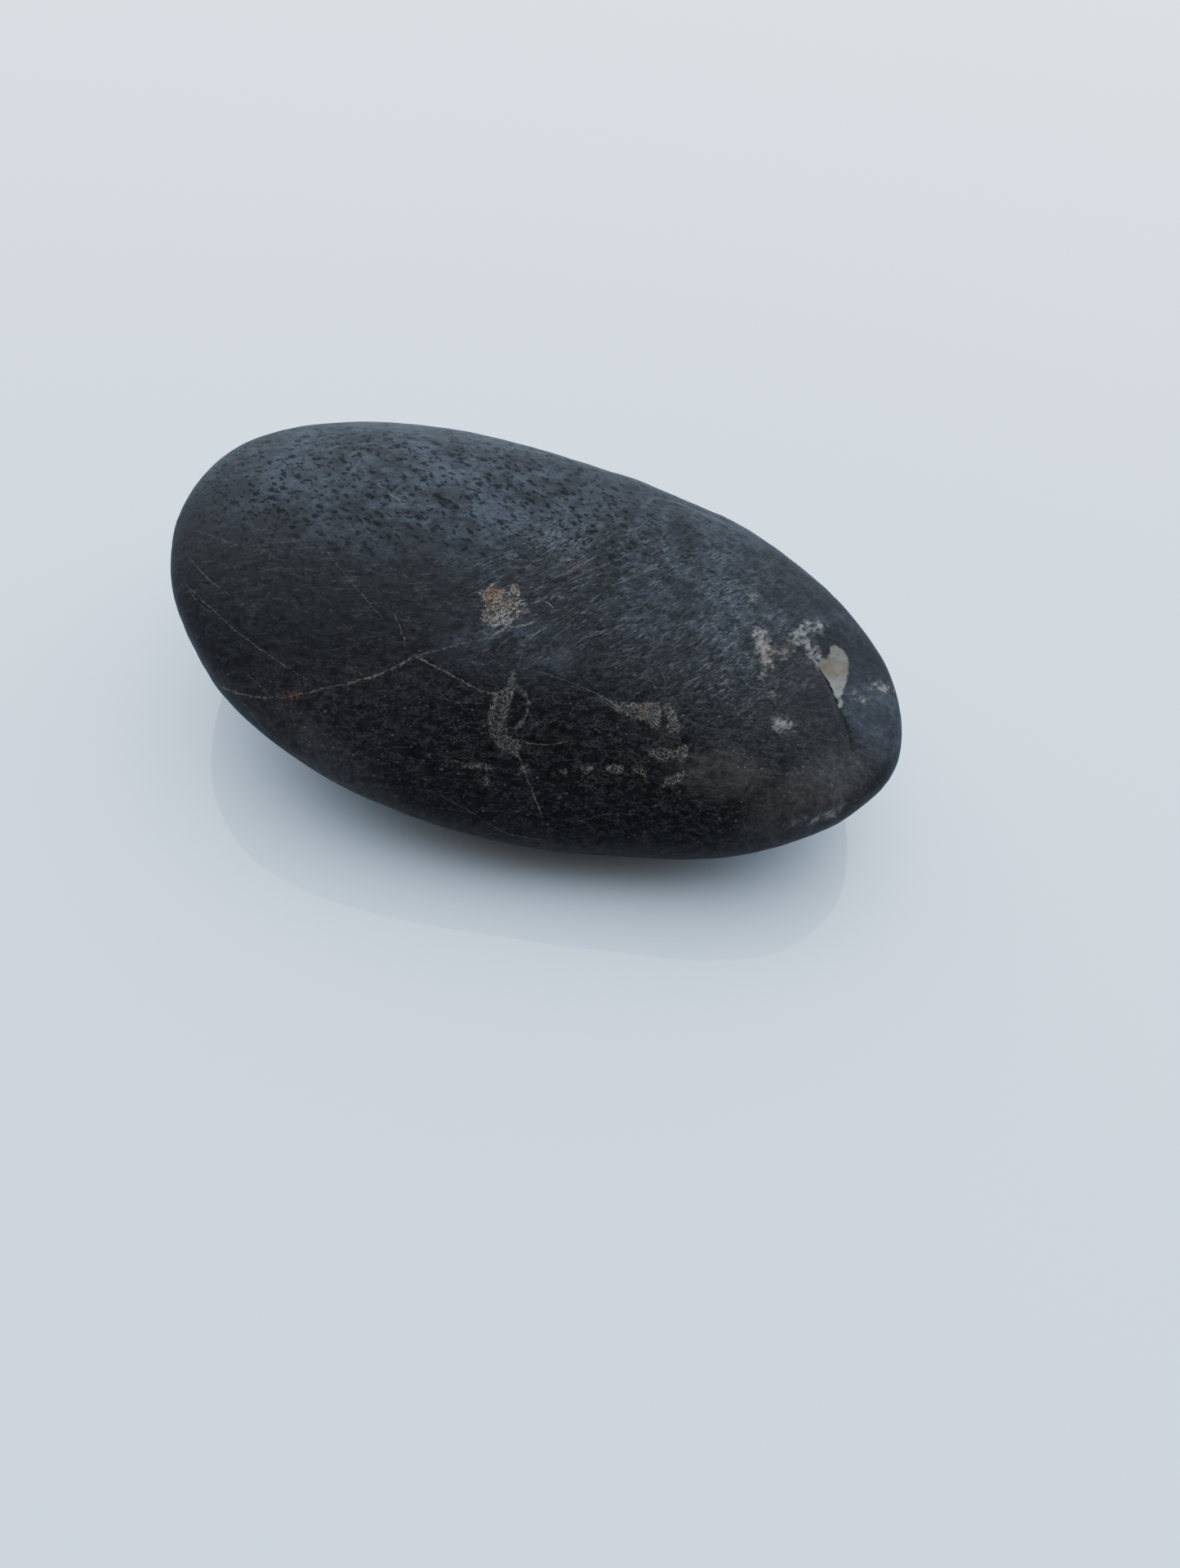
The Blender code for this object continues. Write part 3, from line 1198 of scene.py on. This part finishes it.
@dataclass(frozen=True)
class Spots:
    """Spots that are stretched along one direction of the chart.

    Args:
        effect: the group that draws them.
        angle: the direction, in degrees up from the right.
        long: their spacing along it, in millimetres.
        wide: their spacing across it, in millimetres.
        inputs: the group's own values.
    """

    effect: Effect
    angle: float
    long: float
    wide: float
    inputs: dict[str, float]


@dataclass(frozen=True)
class Spread:
    """How far an effect shows over the stone, from 0 to 1.

    Args:
        zone: how much more in its own zone.
        rest: anywhere.
        hidden: how much more on the sides that the photograph doesn't show.
    """

    zone: float
    rest: float
    hidden: float = 0.0


FLECK_PITS = Spots(FLECKS, -40.0, 2.2, 1.3, {"Radius": 0.42, "Share": 0.85})
FLECK_BLOTS = Spots(BLOTCHES, -35.0, 1.2, 0.65, {"Level": 0.57, "Softness": 0.06})
HACKLE_PITS = Spots(BLOTCHES, 31.0, 1.3, 0.42, {"Level": 0.575, "Softness": 0.035})
HACKLE_RIMS = Spots(BLOTCHES, 34.0, 1.6, 0.32, {"Level": 0.585, "Softness": 0.045})
RIM_THREADS = Strokes(28.0, 5.0, 0.9, 0.04, 0.7)
SCRATCHES = (Strokes(4.0, 2.6, 0.34, 0.045, 0.25), Strokes(-14.0, 2.2, 0.5, 0.03, 0.4))
WEB = (Strokes(-8.0, 1.2, 0.36, 0.06, 0.5), Strokes(22.0, 0.9, 0.5, 0.045, 0.45))
SPECKS = Spots(BLOTCHES, 0.0, 0.3, 0.2, {"Level": 0.63, "Softness": 0.06})
GRAINS = Spots(FLECKS, 10.0, 1.0, 0.7, {"Radius": 0.27, "Share": 0.38})

FLECK_SPREAD = Spread(0.85, 0.12, 0.5)
HACKLE_SPREAD = Spread(0.95, 0.03)
SCRATCH_SPREAD = Spread(0.26, 0.06, 0.16)
WEB_SPREAD = Spread(0.3, 0.06, 0.12)
GRAIN_SPREAD = Spread(0.65, 0.08)

# how far a patch's edge strays and how far it fades, in mm
FRAYS = {
    Mineral.CREAM: (1.1, 0.2),
    Mineral.SAND: (3.2, 0.3),
    Mineral.MICA: (1.0, 0.25),
    Mineral.HAZE: (2.6, 0.6),
    Mineral.RUST: (1.2, 0.5),
}

BROAD_CLOUDS = 0.55  # the share of the broad clouds among all clouds
HIDDEN_BLUE = 0.75  # how blue the hidden sides are
DARKENING = 0.45  # how much darker the painted shade makes the dark parts
GRAIN_HEIGHT = 0.012  # mm, of the finest grain
SEAM_CORE = 0.2  # the part of a seam's width that is full
SEAM_BEND = 9.0  # mm, how far the seams wander
LINE_TREMBLE = 6.0  # half widths, how far the hairlines do

# how much shows along a noise or a mask: where that starts and ends to change, then how much of
# it shows at the start and at the end, which is none and all unless given
BLUE_CLOUDS = (0.41, 0.6, 0.12, 1.0)
EARTH_CLOUDS = (0.3, 0.62, 0.45, 1.0)
MOTTLE_SHADE = (0.25, 0.75, 0.6, 1.5)
HACKLE_CLOUDS = (0.42, 0.58, 0.4, 1.0)
VEIN_CLOUDS = (0.42, 0.55, 0.5, 1.0)
HAZE_WISPS = (0.41, 0.62, 0.03, 1.0)
MICA_RIM = (0.5, 0.0, 0.6, 1.0)
MICA_GRIT = (0.43, 0.6)
MICA_WISPS = (0.34, 0.54, 0.5, 1.0)
SAND_GRIT = (0.42, 0.58)
SAND_WISPS = (0.42, 0.52, 0.12, 0.9)
SAND_PALENESS = (0.44, 0.58, 0.1, 0.85)
CREAM_WISPS = (0.56, 0.4, 0.0, 0.3)
CREAM_CHIP = (0.95, 0.45, 0.0, 0.4)
SPECK_GAPS = (0.35, 0.62)
VEIN_GAPS = (0.4, 0.57, 0.06, 1.0)
RUST_GAPS = (0.45, 0.62)
CREAM_PALENESS = (0.4, 0.6)
SEAM_GAPS = (0.44, 0.62, 0.0, 0.6)
GLOSS_MOTTLE = (0.2, 0.8)


@dataclass(frozen=True)
class StoneTones:
    """The stone's colours and gloss.

    Args:
        slate: the stone's own colour.
        blue_slate_and_sheen: its colour where it is clouded with blue, which on the lit upper lobes
            is also painted sheen.
        fleck_and_shade: the colour of its dark flecks, and of the painted shade in the hackles' pits
            and at the ledge's foot.
        dust_and_highlight: the colour of its scuffs and fine scratches, and of the painted highlights
            on the hackles' rims.
        vein: the colour of its pale hairlines, and of the painted highlight on the back ledge's rim.
        rust: the colour of iron stains.
        cream: the warm colour of the pale inclusions.
        pale: their cool colour.
        sand: the colour of the sandy inclusions.
        cloud: the colour of the clouds of white.
        earth: its colour where brown dust lies on it.
        flank: the colour of its sides that look down, painted lighter as the rim light from the pale
            floor.
        roughness: of the bare stone, where it is smoothest and where it is roughest.
        matting: how much rougher its scuffs, flecks and inclusions are.
        shine: how strongly it mirrors, where 0.5 is a usual amount.
    """

    slate: Colour = (0.0148, 0.0145, 0.0155, 1.0)
    blue_slate_and_sheen: Colour = (0.046, 0.051, 0.061, 1.0)
    fleck_and_shade: Colour = (0.006, 0.0065, 0.0075, 1.0)
    dust_and_highlight: Colour = (0.122, 0.121, 0.121, 1.0)
    vein: Colour = (0.165, 0.155, 0.13, 1.0)
    rust: Colour = (0.17, 0.08, 0.035, 1.0)
    cream: Colour = (0.21, 0.17, 0.115, 1.0)
    pale: Colour = (0.19, 0.182, 0.166, 1.0)
    sand: Colour = (0.21, 0.15, 0.098, 1.0)
    cloud: Colour = (0.2, 0.19, 0.175, 1.0)
    earth: Colour = (0.05, 0.047, 0.044, 1.0)
    flank: Colour = (0.044, 0.04, 0.035, 1.0)
    roughness: tuple[float, float] = (0.49, 0.63)
    matting: float = 0.2
    shine: float = 0.02


class StoneFinish:
    """The dark stone's surface, laid on in layers from the bare stone outwards."""

    def __init__(self, chart: Chart, skin: StoneSkin, tones: StoneTones) -> None:
        """Starts the material.

        Args:
            chart: the map that places its marks.
            skin: the stone's skin, with its masks and lines.
            tones: its colours and gloss.
        """
        self.chart, self.skin, self.tones = chart, skin, tones
        self.made = bpy.data.materials.new(SLOT)
        self.made.use_nodes = True
        self.shader = self.made.node_tree.nodes["Principled BSDF"]
        self.tree = tree = Tree(self.made.node_tree)
        self.place = self.chart_place()
        self.mask = {name: tree.mask(name) for name in (*[z.value for z in Zone], *OWN_MASKS)}
        self.hidden = tree.math("SUBTRACT", 1.0, self.mask["shown"])
        broad = tree.noise(self.place, scale=0.13, detail=3.0, Roughness=0.55)
        close = tree.noise(self.place, scale=0.5, detail=4.0, Roughness=0.65)
        close = tree.times(close, 1.0 - BROAD_CLOUDS)
        self.clouds = tree.math("MULTIPLY_ADD", broad, BROAD_CLOUDS, close)
        self.mottle = tree.noise(self.place, scale=1.1, detail=5.0, Roughness=0.7)
        self.swirl = self.shifted(scale=0.09, detail=1.0, reach=2.2)
        waver = tree.noise(self.place, scale=0.7, detail=5.0, Roughness=0.75)
        self.waver = tree.times(tree.math("SUBTRACT", waver, 0.5), LINE_TREMBLE)
        self.colour: Value = tones.slate
        self.matt: list[Socket] = []
        grain = tree.noise(self.place, scale=5.5, detail=3.0, Roughness=0.6)
        self.height = tree.times(grain, GRAIN_HEIGHT)

    def chart_place(self) -> Socket:
        """The chart's coordinates in the shader, in millimetres."""
        own = self.tree.add("TexCoord").outputs["Object"]
        turn = self.chart.turn()
        shift = turn @ Vector(self.chart.origin) / -MM
        scale = (1 / MM, 1 / MM, 1 / MM)
        return self.tree.mapped(own, "POINT", tuple(shift), tuple(turn.to_euler()), scale)

    def shifted(self, scale: float, detail: float, reach: float) -> Socket:
        """Shifts the chart's coordinates by a noise.

        Args:
            scale: the noise's waves to a millimetre.
            detail: its finer octaves.
            reach: how far it shifts, in millimetres.

        Returns:
            The shifted coordinates.
        """
        tree = self.tree
        waves = tree.noise(self.place, scale, detail).node.outputs["Color"]
        centred = tree.vector("SUBTRACT", waves, (0.5, 0.5, 0.5)).outputs[0]
        reaches = (reach, reach, reach)
        return tree.vector("MULTIPLY_ADD", centred, reaches, self.place).outputs[0]

    def stretched(self, place: Socket, angle: float, long: float, wide: float) -> Socket:
        """Stretches a place along one direction of the chart, and as much towards the lens.

        Args:
            place: the chart's coordinates.
            angle: the direction, in degrees up from the right.
            long: the length of one unit along it, in millimetres.
            wide: the length of one unit across it, in millimetres.

        Returns:
            The new coordinates.
        """
        turn = (0.0, 0.0, math.radians(angle))
        return self.tree.mapped(place, "TEXTURE", (0.0, 0.0, 0.0), turn, (long, wide, long))

    def spots(self, spots: Spots, place: Socket) -> Socket:
        """Scatters spots.

        Args:
            spots: the spots.
            place: the chart's coordinates.

        Returns:
            How far they cover the stone.
        """
        laid = self.stretched(place, spots.angle, spots.long, spots.wide)
        return spots.effect.place(self.tree, Place=laid, **spots.inputs)

    def strokes(self, *strokes: Strokes) -> Value:
        """Lays fibres, each kind along its own direction, bent in broad swirls.

        Args:
            strokes: the kinds of fibre.

        Returns:
            How far they cover the stone.
        """
        kinds = []
        for kind in strokes:
            laid = self.stretched(self.swirl, kind.angle, kind.long, kind.wide)
            size = {"Thickness": kind.thickness, "Share": kind.share}
            kinds.append(FIBRES.place(self.tree, Place=laid, **size))
        return self.tree.most(*kinds)

    def spread(self, zone: Zone, spread: Spread) -> Socket:
        """Works out how far an effect shows.

        Args:
            zone: its zone.
            spread: how far it shows there and elsewhere.

        Returns:
            How far it shows, from 0 to 1.
        """
        shows = self.tree.math("MULTIPLY_ADD", self.mask[zone.value], spread.zone, spread.rest)
        if spread.hidden:
            shows = self.tree.math("MULTIPLY_ADD", self.hidden, spread.hidden, shows)
        return shows

    def lines(self, tint: Tint) -> Value:
        """Draws the lines of one tint.

        Args:
            tint: the tint.

        Returns:
            How far any of them covers the stone.
        """
        drawn = []
        for name in self.skin.layers:
            if name.startswith(tint.value):
                measure = self.tree.add("Attribute", attribute_name=name).outputs["Vector"]
                drawn.append(HAIRLINE.place(self.tree, Measure=measure, Waver=self.waver))
        return self.tree.most(*drawn)

    def patch(self, mineral: Mineral) -> Socket:
        """Fills the patches of one mineral.

        Args:
            mineral: the mineral.

        Returns:
            How far it covers the stone.
        """
        inside = self.tree.mask(mineral.value)
        fray, soft = FRAYS[mineral]
        return RAGGED_EDGE.place(
            self.tree, Inside=inside, Place=self.place, Fray=fray, Softness=soft
        )

    def seams(self) -> Socket:
        """Lays the seams of the sides that the photograph doesn't show.

        Each seam is a thin sheet of pale mineral that crosses the stone, so it shows as a line.

        Returns:
            How far they cover the stone.
        """
        tree = self.tree
        waves = tree.noise(self.place, scale=0.1, detail=5.0, Roughness=0.6)
        sheets = []
        for seam in SEAMS:
            across = tree.vector("DOT_PRODUCT", self.place, seam.way).outputs["Value"]
            off = tree.math("MULTIPLY_ADD", waves, SEAM_BEND, across)
            off = tree.math("ABSOLUTE", tree.math("SUBTRACT", off, seam.level + SEAM_BEND / 2))
            sheets.append(tree.ramp(off, seam.half_width, SEAM_CORE * seam.half_width))
        breaks = tree.noise(self.place, scale=0.16, detail=4.0, Roughness=0.65)
        return tree.times(tree.most(*sheets), tree.ramp(breaks, *SEAM_GAPS))

    def coat(self, share: Value, colour: Value, strength: float = 1.0) -> None:
        """Lays a colour over those laid so far.

        Args:
            share: where it lies, from 0 to 1.
            colour: the colour.
            strength: how much of it shows where it lies thickest.
        """
        if strength < 1.0:
            share = self.tree.times(share, strength)
        self.colour = self.tree.mix(share, self.colour, colour)

    def lift(self, share: Value, rise: float) -> None:
        """Raises the surface, or lowers it.

        Args:
            share: where, from 0 to 1.
            rise: by how much, in millimetres.
        """
        self.height = self.tree.math("MULTIPLY_ADD", share, rise, self.height)

    def bare_stone(self) -> None:
        """Clouds the slate with blue and brown, mottles it finely, and paints in sheen, rim light and
        shade.
        """
        tree, mask = self.tree, self.mask
        # painted sheen: the blue clouding also lightens the lit upper lobes
        bluish = tree.math("MULTIPLY_ADD", self.hidden, HIDDEN_BLUE, mask["bluish"])
        bluish = tree.times(bluish, tree.ramp(self.clouds, *BLUE_CLOUDS))
        earthy = tree.times(mask["earthy"], tree.ramp(self.clouds, *EARTH_CLOUDS))
        self.coat(bluish, self.tones.blue_slate_and_sheen, strength=0.68)
        self.coat(mask["chipped"], self.tones.blue_slate_and_sheen, strength=0.35)
        # painted rim light: the sides that look down are lighter, as if lit from the pale floor
        self.coat(mask["flank"], self.tones.flank, strength=0.9)
        self.coat(earthy, self.tones.earth)
        shade = tree.ramp(self.mottle, *MOTTLE_SHADE)
        # painted shade: the dark zone darkens the front and the step beside the ledge; the mottle is
        # the stone's own tone
        shade = tree.times(shade, tree.math("MULTIPLY_ADD", mask["dark"], -DARKENING, 1.0))
        grey = tree.add("CombineXYZ")
        for socket in grey.inputs:
            tree.put(shade, socket)
        self.colour = tree.mix(1.0, self.colour, grey.outputs[0], "MULTIPLY")
        self.lift(self.mottle, rise=0.05)

    def dark_flecks(self) -> None:
        """Scatters the dark flecks, which are shallow pits."""
        spots = self.spots(FLECK_PITS, self.shifted(scale=1.3, detail=2.0, reach=0.7))
        flecks = self.tree.most(spots, self.spots(FLECK_BLOTS, self.place))
        flecks = self.tree.times(flecks, self.spread(Zone.FLECKED, FLECK_SPREAD))
        self.coat(flecks, self.tones.fleck_and_shade, strength=0.88)
        self.lift(flecks, rise=-0.06)
        self.matt.append(flecks)

    def hackles(self) -> None:
        """Cuts the broad end's short strokes, with painted shade in the pits and painted highlights
        on their rims.
        """
        tree = self.tree
        cut = self.spread(Zone.STREAKED, HACKLE_SPREAD)
        cut = tree.times(cut, tree.ramp(self.clouds, *HACKLE_CLOUDS))
        pits = tree.times(self.spots(HACKLE_PITS, self.swirl), cut)
        rims = tree.most(self.spots(HACKLE_RIMS, self.swirl), self.strokes(RIM_THREADS))
        rims = tree.times(rims, cut)
        # painted shade in the pits and painted highlights on the rims, over the bumps lifted below
        self.coat(pits, self.tones.fleck_and_shade, strength=0.75)
        self.coat(rims, self.tones.dust_and_highlight, strength=0.48)
        self.lift(pits, rise=-0.12)
        self.lift(rims, rise=0.09)

    def scuffs(self) -> None:
        """Lays the level scratches and the front's web of threads and specks."""
        tree = self.tree
        scratches = self.strokes(*SCRATCHES)
        scratches = tree.times(scratches, self.spread(Zone.SCRATCHED, SCRATCH_SPREAD))
        patchy = tree.ramp(tree.noise(self.place, scale=0.4, detail=3.0), *SPECK_GAPS)
        specks = tree.times(self.spots(SPECKS, self.place), patchy)
        web = tree.most(self.strokes(*WEB), specks)
        web = tree.times(web, self.spread(Zone.DUSTY, WEB_SPREAD))
        grains = self.spots(GRAINS, self.place)
        grains = tree.times(grains, self.spread(Zone.DUSTY, GRAIN_SPREAD))
        scuffs = tree.most(scratches, web, grains)
        self.coat(scuffs, self.tones.dust_and_highlight, strength=0.75)
        self.lift(scuffs, rise=0.035)
        self.matt.append(scuffs)

    def hairlines(self) -> None:
        """Draws the pale hairlines, the painted highlight on the back ledge's rim among them, and the
        seams of the hidden sides.
        """
        tree = self.tree
        gaps = tree.noise(self.place, scale=2.2, detail=5.0, Roughness=0.8)
        gaps = tree.ramp(gaps, *VEIN_GAPS)
        gaps = tree.times(gaps, tree.ramp(self.clouds, *VEIN_CLOUDS))
        veins = tree.times(tree.times(self.lines(Tint.PALE), gaps), self.mask["shown"])
        veins = tree.most(veins, tree.times(self.seams(), self.hidden))
        self.coat(veins, self.tones.vein)
        self.lift(veins, rise=0.02)

    def inclusions(self) -> None:
        """Sets the patches of other minerals, and the rust on them."""
        tree, tones = self.tree, self.tones
        grit = tree.noise(self.place, scale=4.0, detail=3.0, Roughness=0.75)
        wisps = self.stretched(self.place, angle=40.0, long=1.6, wide=0.8)
        wisps = tree.noise(wisps, scale=1.0, detail=5.0, Roughness=0.7)
        haze = tree.times(self.patch(Mineral.HAZE), tree.ramp(wisps, *HAZE_WISPS))
        self.coat(haze, tones.cloud, strength=0.85)

        rim = tree.ramp(tree.mask(Mineral.MICA.value), *MICA_RIM)
        mica = tree.times(self.patch(Mineral.MICA), rim)
        mica = tree.times(mica, tree.ramp(grit, *MICA_GRIT))
        mica = tree.times(mica, tree.ramp(wisps, *MICA_WISPS))
        self.coat(mica, tones.vein, strength=0.95)
        self.lift(mica, rise=0.03)

        sand = tree.times(self.patch(Mineral.SAND), tree.ramp(grit, *SAND_GRIT))
        sand = tree.times(sand, tree.ramp(wisps, *SAND_WISPS))
        sandy = tree.mix(tree.ramp(wisps, *SAND_PALENESS), tones.sand, tones.cloud)
        self.coat(sand, sandy)
        self.lift(sand, rise=0.05)

        rust = tree.ramp(tree.noise(self.place, scale=3.2, detail=2.0), *RUST_GAPS)
        self.coat(tree.times(self.patch(Mineral.RUST), rust), tones.rust, strength=0.66)

        cream = self.patch(Mineral.CREAM)
        warm = tree.ramp(tree.noise(self.place, scale=0.55, detail=4.0), *CREAM_PALENESS)
        creamy = tree.mix(warm, tones.cream, tones.pale)
        creamy = tree.mix(tree.ramp(wisps, *CREAM_WISPS), creamy, tones.earth)
        dim = tree.ramp(self.mask["chipped"], *CREAM_CHIP)
        self.coat(cream, tree.mix(dim, creamy, tones.earth))
        self.matt += [cream, sand]

    def ledge_feet(self) -> None:
        """Paints the shadow at the foot of the broad end's ledge, as a dark line."""
        shadow = self.lines(Tint.DARK)
        self.coat(shadow, self.tones.fleck_and_shade)
        self.lift(shadow, rise=-0.12)

    def surface(self) -> None:
        """Sets the shader's colour, gloss and grain from the layers."""
        tree, tones, inputs = self.tree, self.tones, self.shader.inputs
        smooth, rough = tones.roughness
        rough = tree.ramp(self.mottle, *GLOSS_MOTTLE, smooth, rough)
        matt = tree.most(*self.matt)
        rough = tree.math("MULTIPLY_ADD", matt, tones.matting, rough, clamp=True)
        bump = tree.add("Bump")
        tree.put(1.0, bump.inputs["Strength"])
        tree.put(MM, bump.inputs["Distance"])
        tree.put(self.height, bump.inputs["Height"])
        tree.put(self.colour, inputs["Base Color"])
        tree.put(rough, inputs["Roughness"])
        tree.put(tones.shine, inputs["Specular IOR Level"])
        tree.put(bump.outputs[0], inputs["Normal"])

    def build(self) -> bpy.types.Material:
        """Lays the layers in order.

        Returns:
            The material.
        """
        self.bare_stone()
        self.dark_flecks()
        self.hackles()
        self.scuffs()
        self.hairlines()
        self.inclusions()
        self.ledge_feet()
        self.surface()
        log.info("stone finish: %d nodes", len(self.made.node_tree.nodes))
        return self.made


@dataclass(frozen=True)
class Studio:
    """The floor and the light, which aren't part of the object.

    Args:
        floor_colour: of the pale, glossy floor.
        floor_half: half the floor's side, in metres.
        floor_gloss: the floor's shader inputs.
        sky_colour: of the light, which is that of an overcast sky.
        dim_colour: of the light on the dark side.
        sky_way: where the light is brightest.
        sky_low: the light's strength on the dark side.
        sky_high: its strength on the bright side.
        strength_span: how far round towards the bright side its strength rises, as a cosine.
        tint_span: how far round its colour changes.
        backdrop: what the camera sees past the floor's edge.
    """

    floor_colour: Colour = (0.67, 0.8, 0.95, 1.0)
    floor_half: float = 3.0
    floor_gloss: tuple[tuple[str, float], ...] = (
        ("Roughness", 0.45),
        ("Coat Weight", 1.0),
        ("Coat Roughness", 0.03),
    )
    sky_colour: Colour = (0.86, 1.0, 1.16, 1.0)
    dim_colour: Colour = (1.15, 1.0, 0.86, 1.0)
    sky_way: Triple = (-0.3, 0.74, 0.6)
    sky_low: float = 0.21
    sky_high: float = 3.9
    strength_span: tuple[float, float] = (-0.1, 1.0)
    tint_span: tuple[float, float] = (-0.2, 0.6)
    backdrop: Colour = (0.6, 0.66, 0.72, 1.0)

    def floor(self) -> bpy.types.Object:
        """Lays the floor.

        Returns:
            The floor.
        """
        half = self.floor_half
        mesh = bpy.data.meshes.new("floor")
        corners = [(-half, -half, 0.0), (half, -half, 0.0), (half, half, 0.0), (-half, half, 0.0)]
        mesh.from_pydata(corners, [], [(0, 1, 2, 3)])
        floor = bpy.data.objects.new("floor", mesh)
        bpy.context.scene.collection.objects.link(floor)
        finish = bpy.data.materials.new("floor_gloss")
        finish.use_nodes = True
        shader = finish.node_tree.nodes["Principled BSDF"]
        shader.inputs["Base Color"].default_value = self.floor_colour
        for name, value in self.floor_gloss:
            shader.inputs[name].default_value = value
        mesh.materials.append(finish)
        return floor

    def sky(self) -> None:
        """Sets the light: a soft dome, bright behind the stone and dark behind the camera."""
        world = bpy.data.worlds.new("studio")
        world.use_nodes = True
        bpy.context.scene.world = world
        tree = Tree(world.node_tree)
        glow = world.node_tree.nodes["Background"]
        leave = world.node_tree.nodes["World Output"]
        around = tree.add("TexCoord").outputs["Generated"]
        way = tuple(Vector(self.sky_way).normalized())
        toward = tree.vector("DOT_PRODUCT", around, way).outputs["Value"]
        ends = (self.sky_low, self.sky_high)
        level = tree.ramp(toward, *self.strength_span, *ends)
        share = tree.ramp(toward, *self.tint_span)
        tree.put(tree.mix(share, self.dim_colour, self.sky_colour), glow.inputs["Color"])
        tree.put(level, glow.inputs["Strength"])
        plain = tree.add("Background")
        tree.put(self.backdrop, plain.inputs["Color"])
        seen = tree.add("MixShader")
        tree.put(tree.add("LightPath").outputs["Is Camera Ray"], seen.inputs[0])
        tree.put(glow.outputs[0], seen.inputs[1])
        tree.put(plain.outputs[0], seen.inputs[2])
        tree.put(seen.outputs[0], leave.inputs["Surface"])

    def build(self) -> None:
        """Lays the floor and sets the light."""
        self.floor()
        self.sky()
        log.info("studio: floor and soft light")


def main() -> None:
    """Builds the camera, the stone and the studio."""
    logging.basicConfig(level=logging.INFO, format="%(name)s: %(message)s")
    view = Viewpoint()
    view.build()
    chart = Chart(view)
    skin = StoneSkin(chart)
    stone = skin.build()
    stone.data.materials.append(StoneFinish(chart, skin, StoneTones()).build())
    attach(stone, BODY)
    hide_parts(NODE)
    Studio().build()


if __name__ == "__main__":
    main()
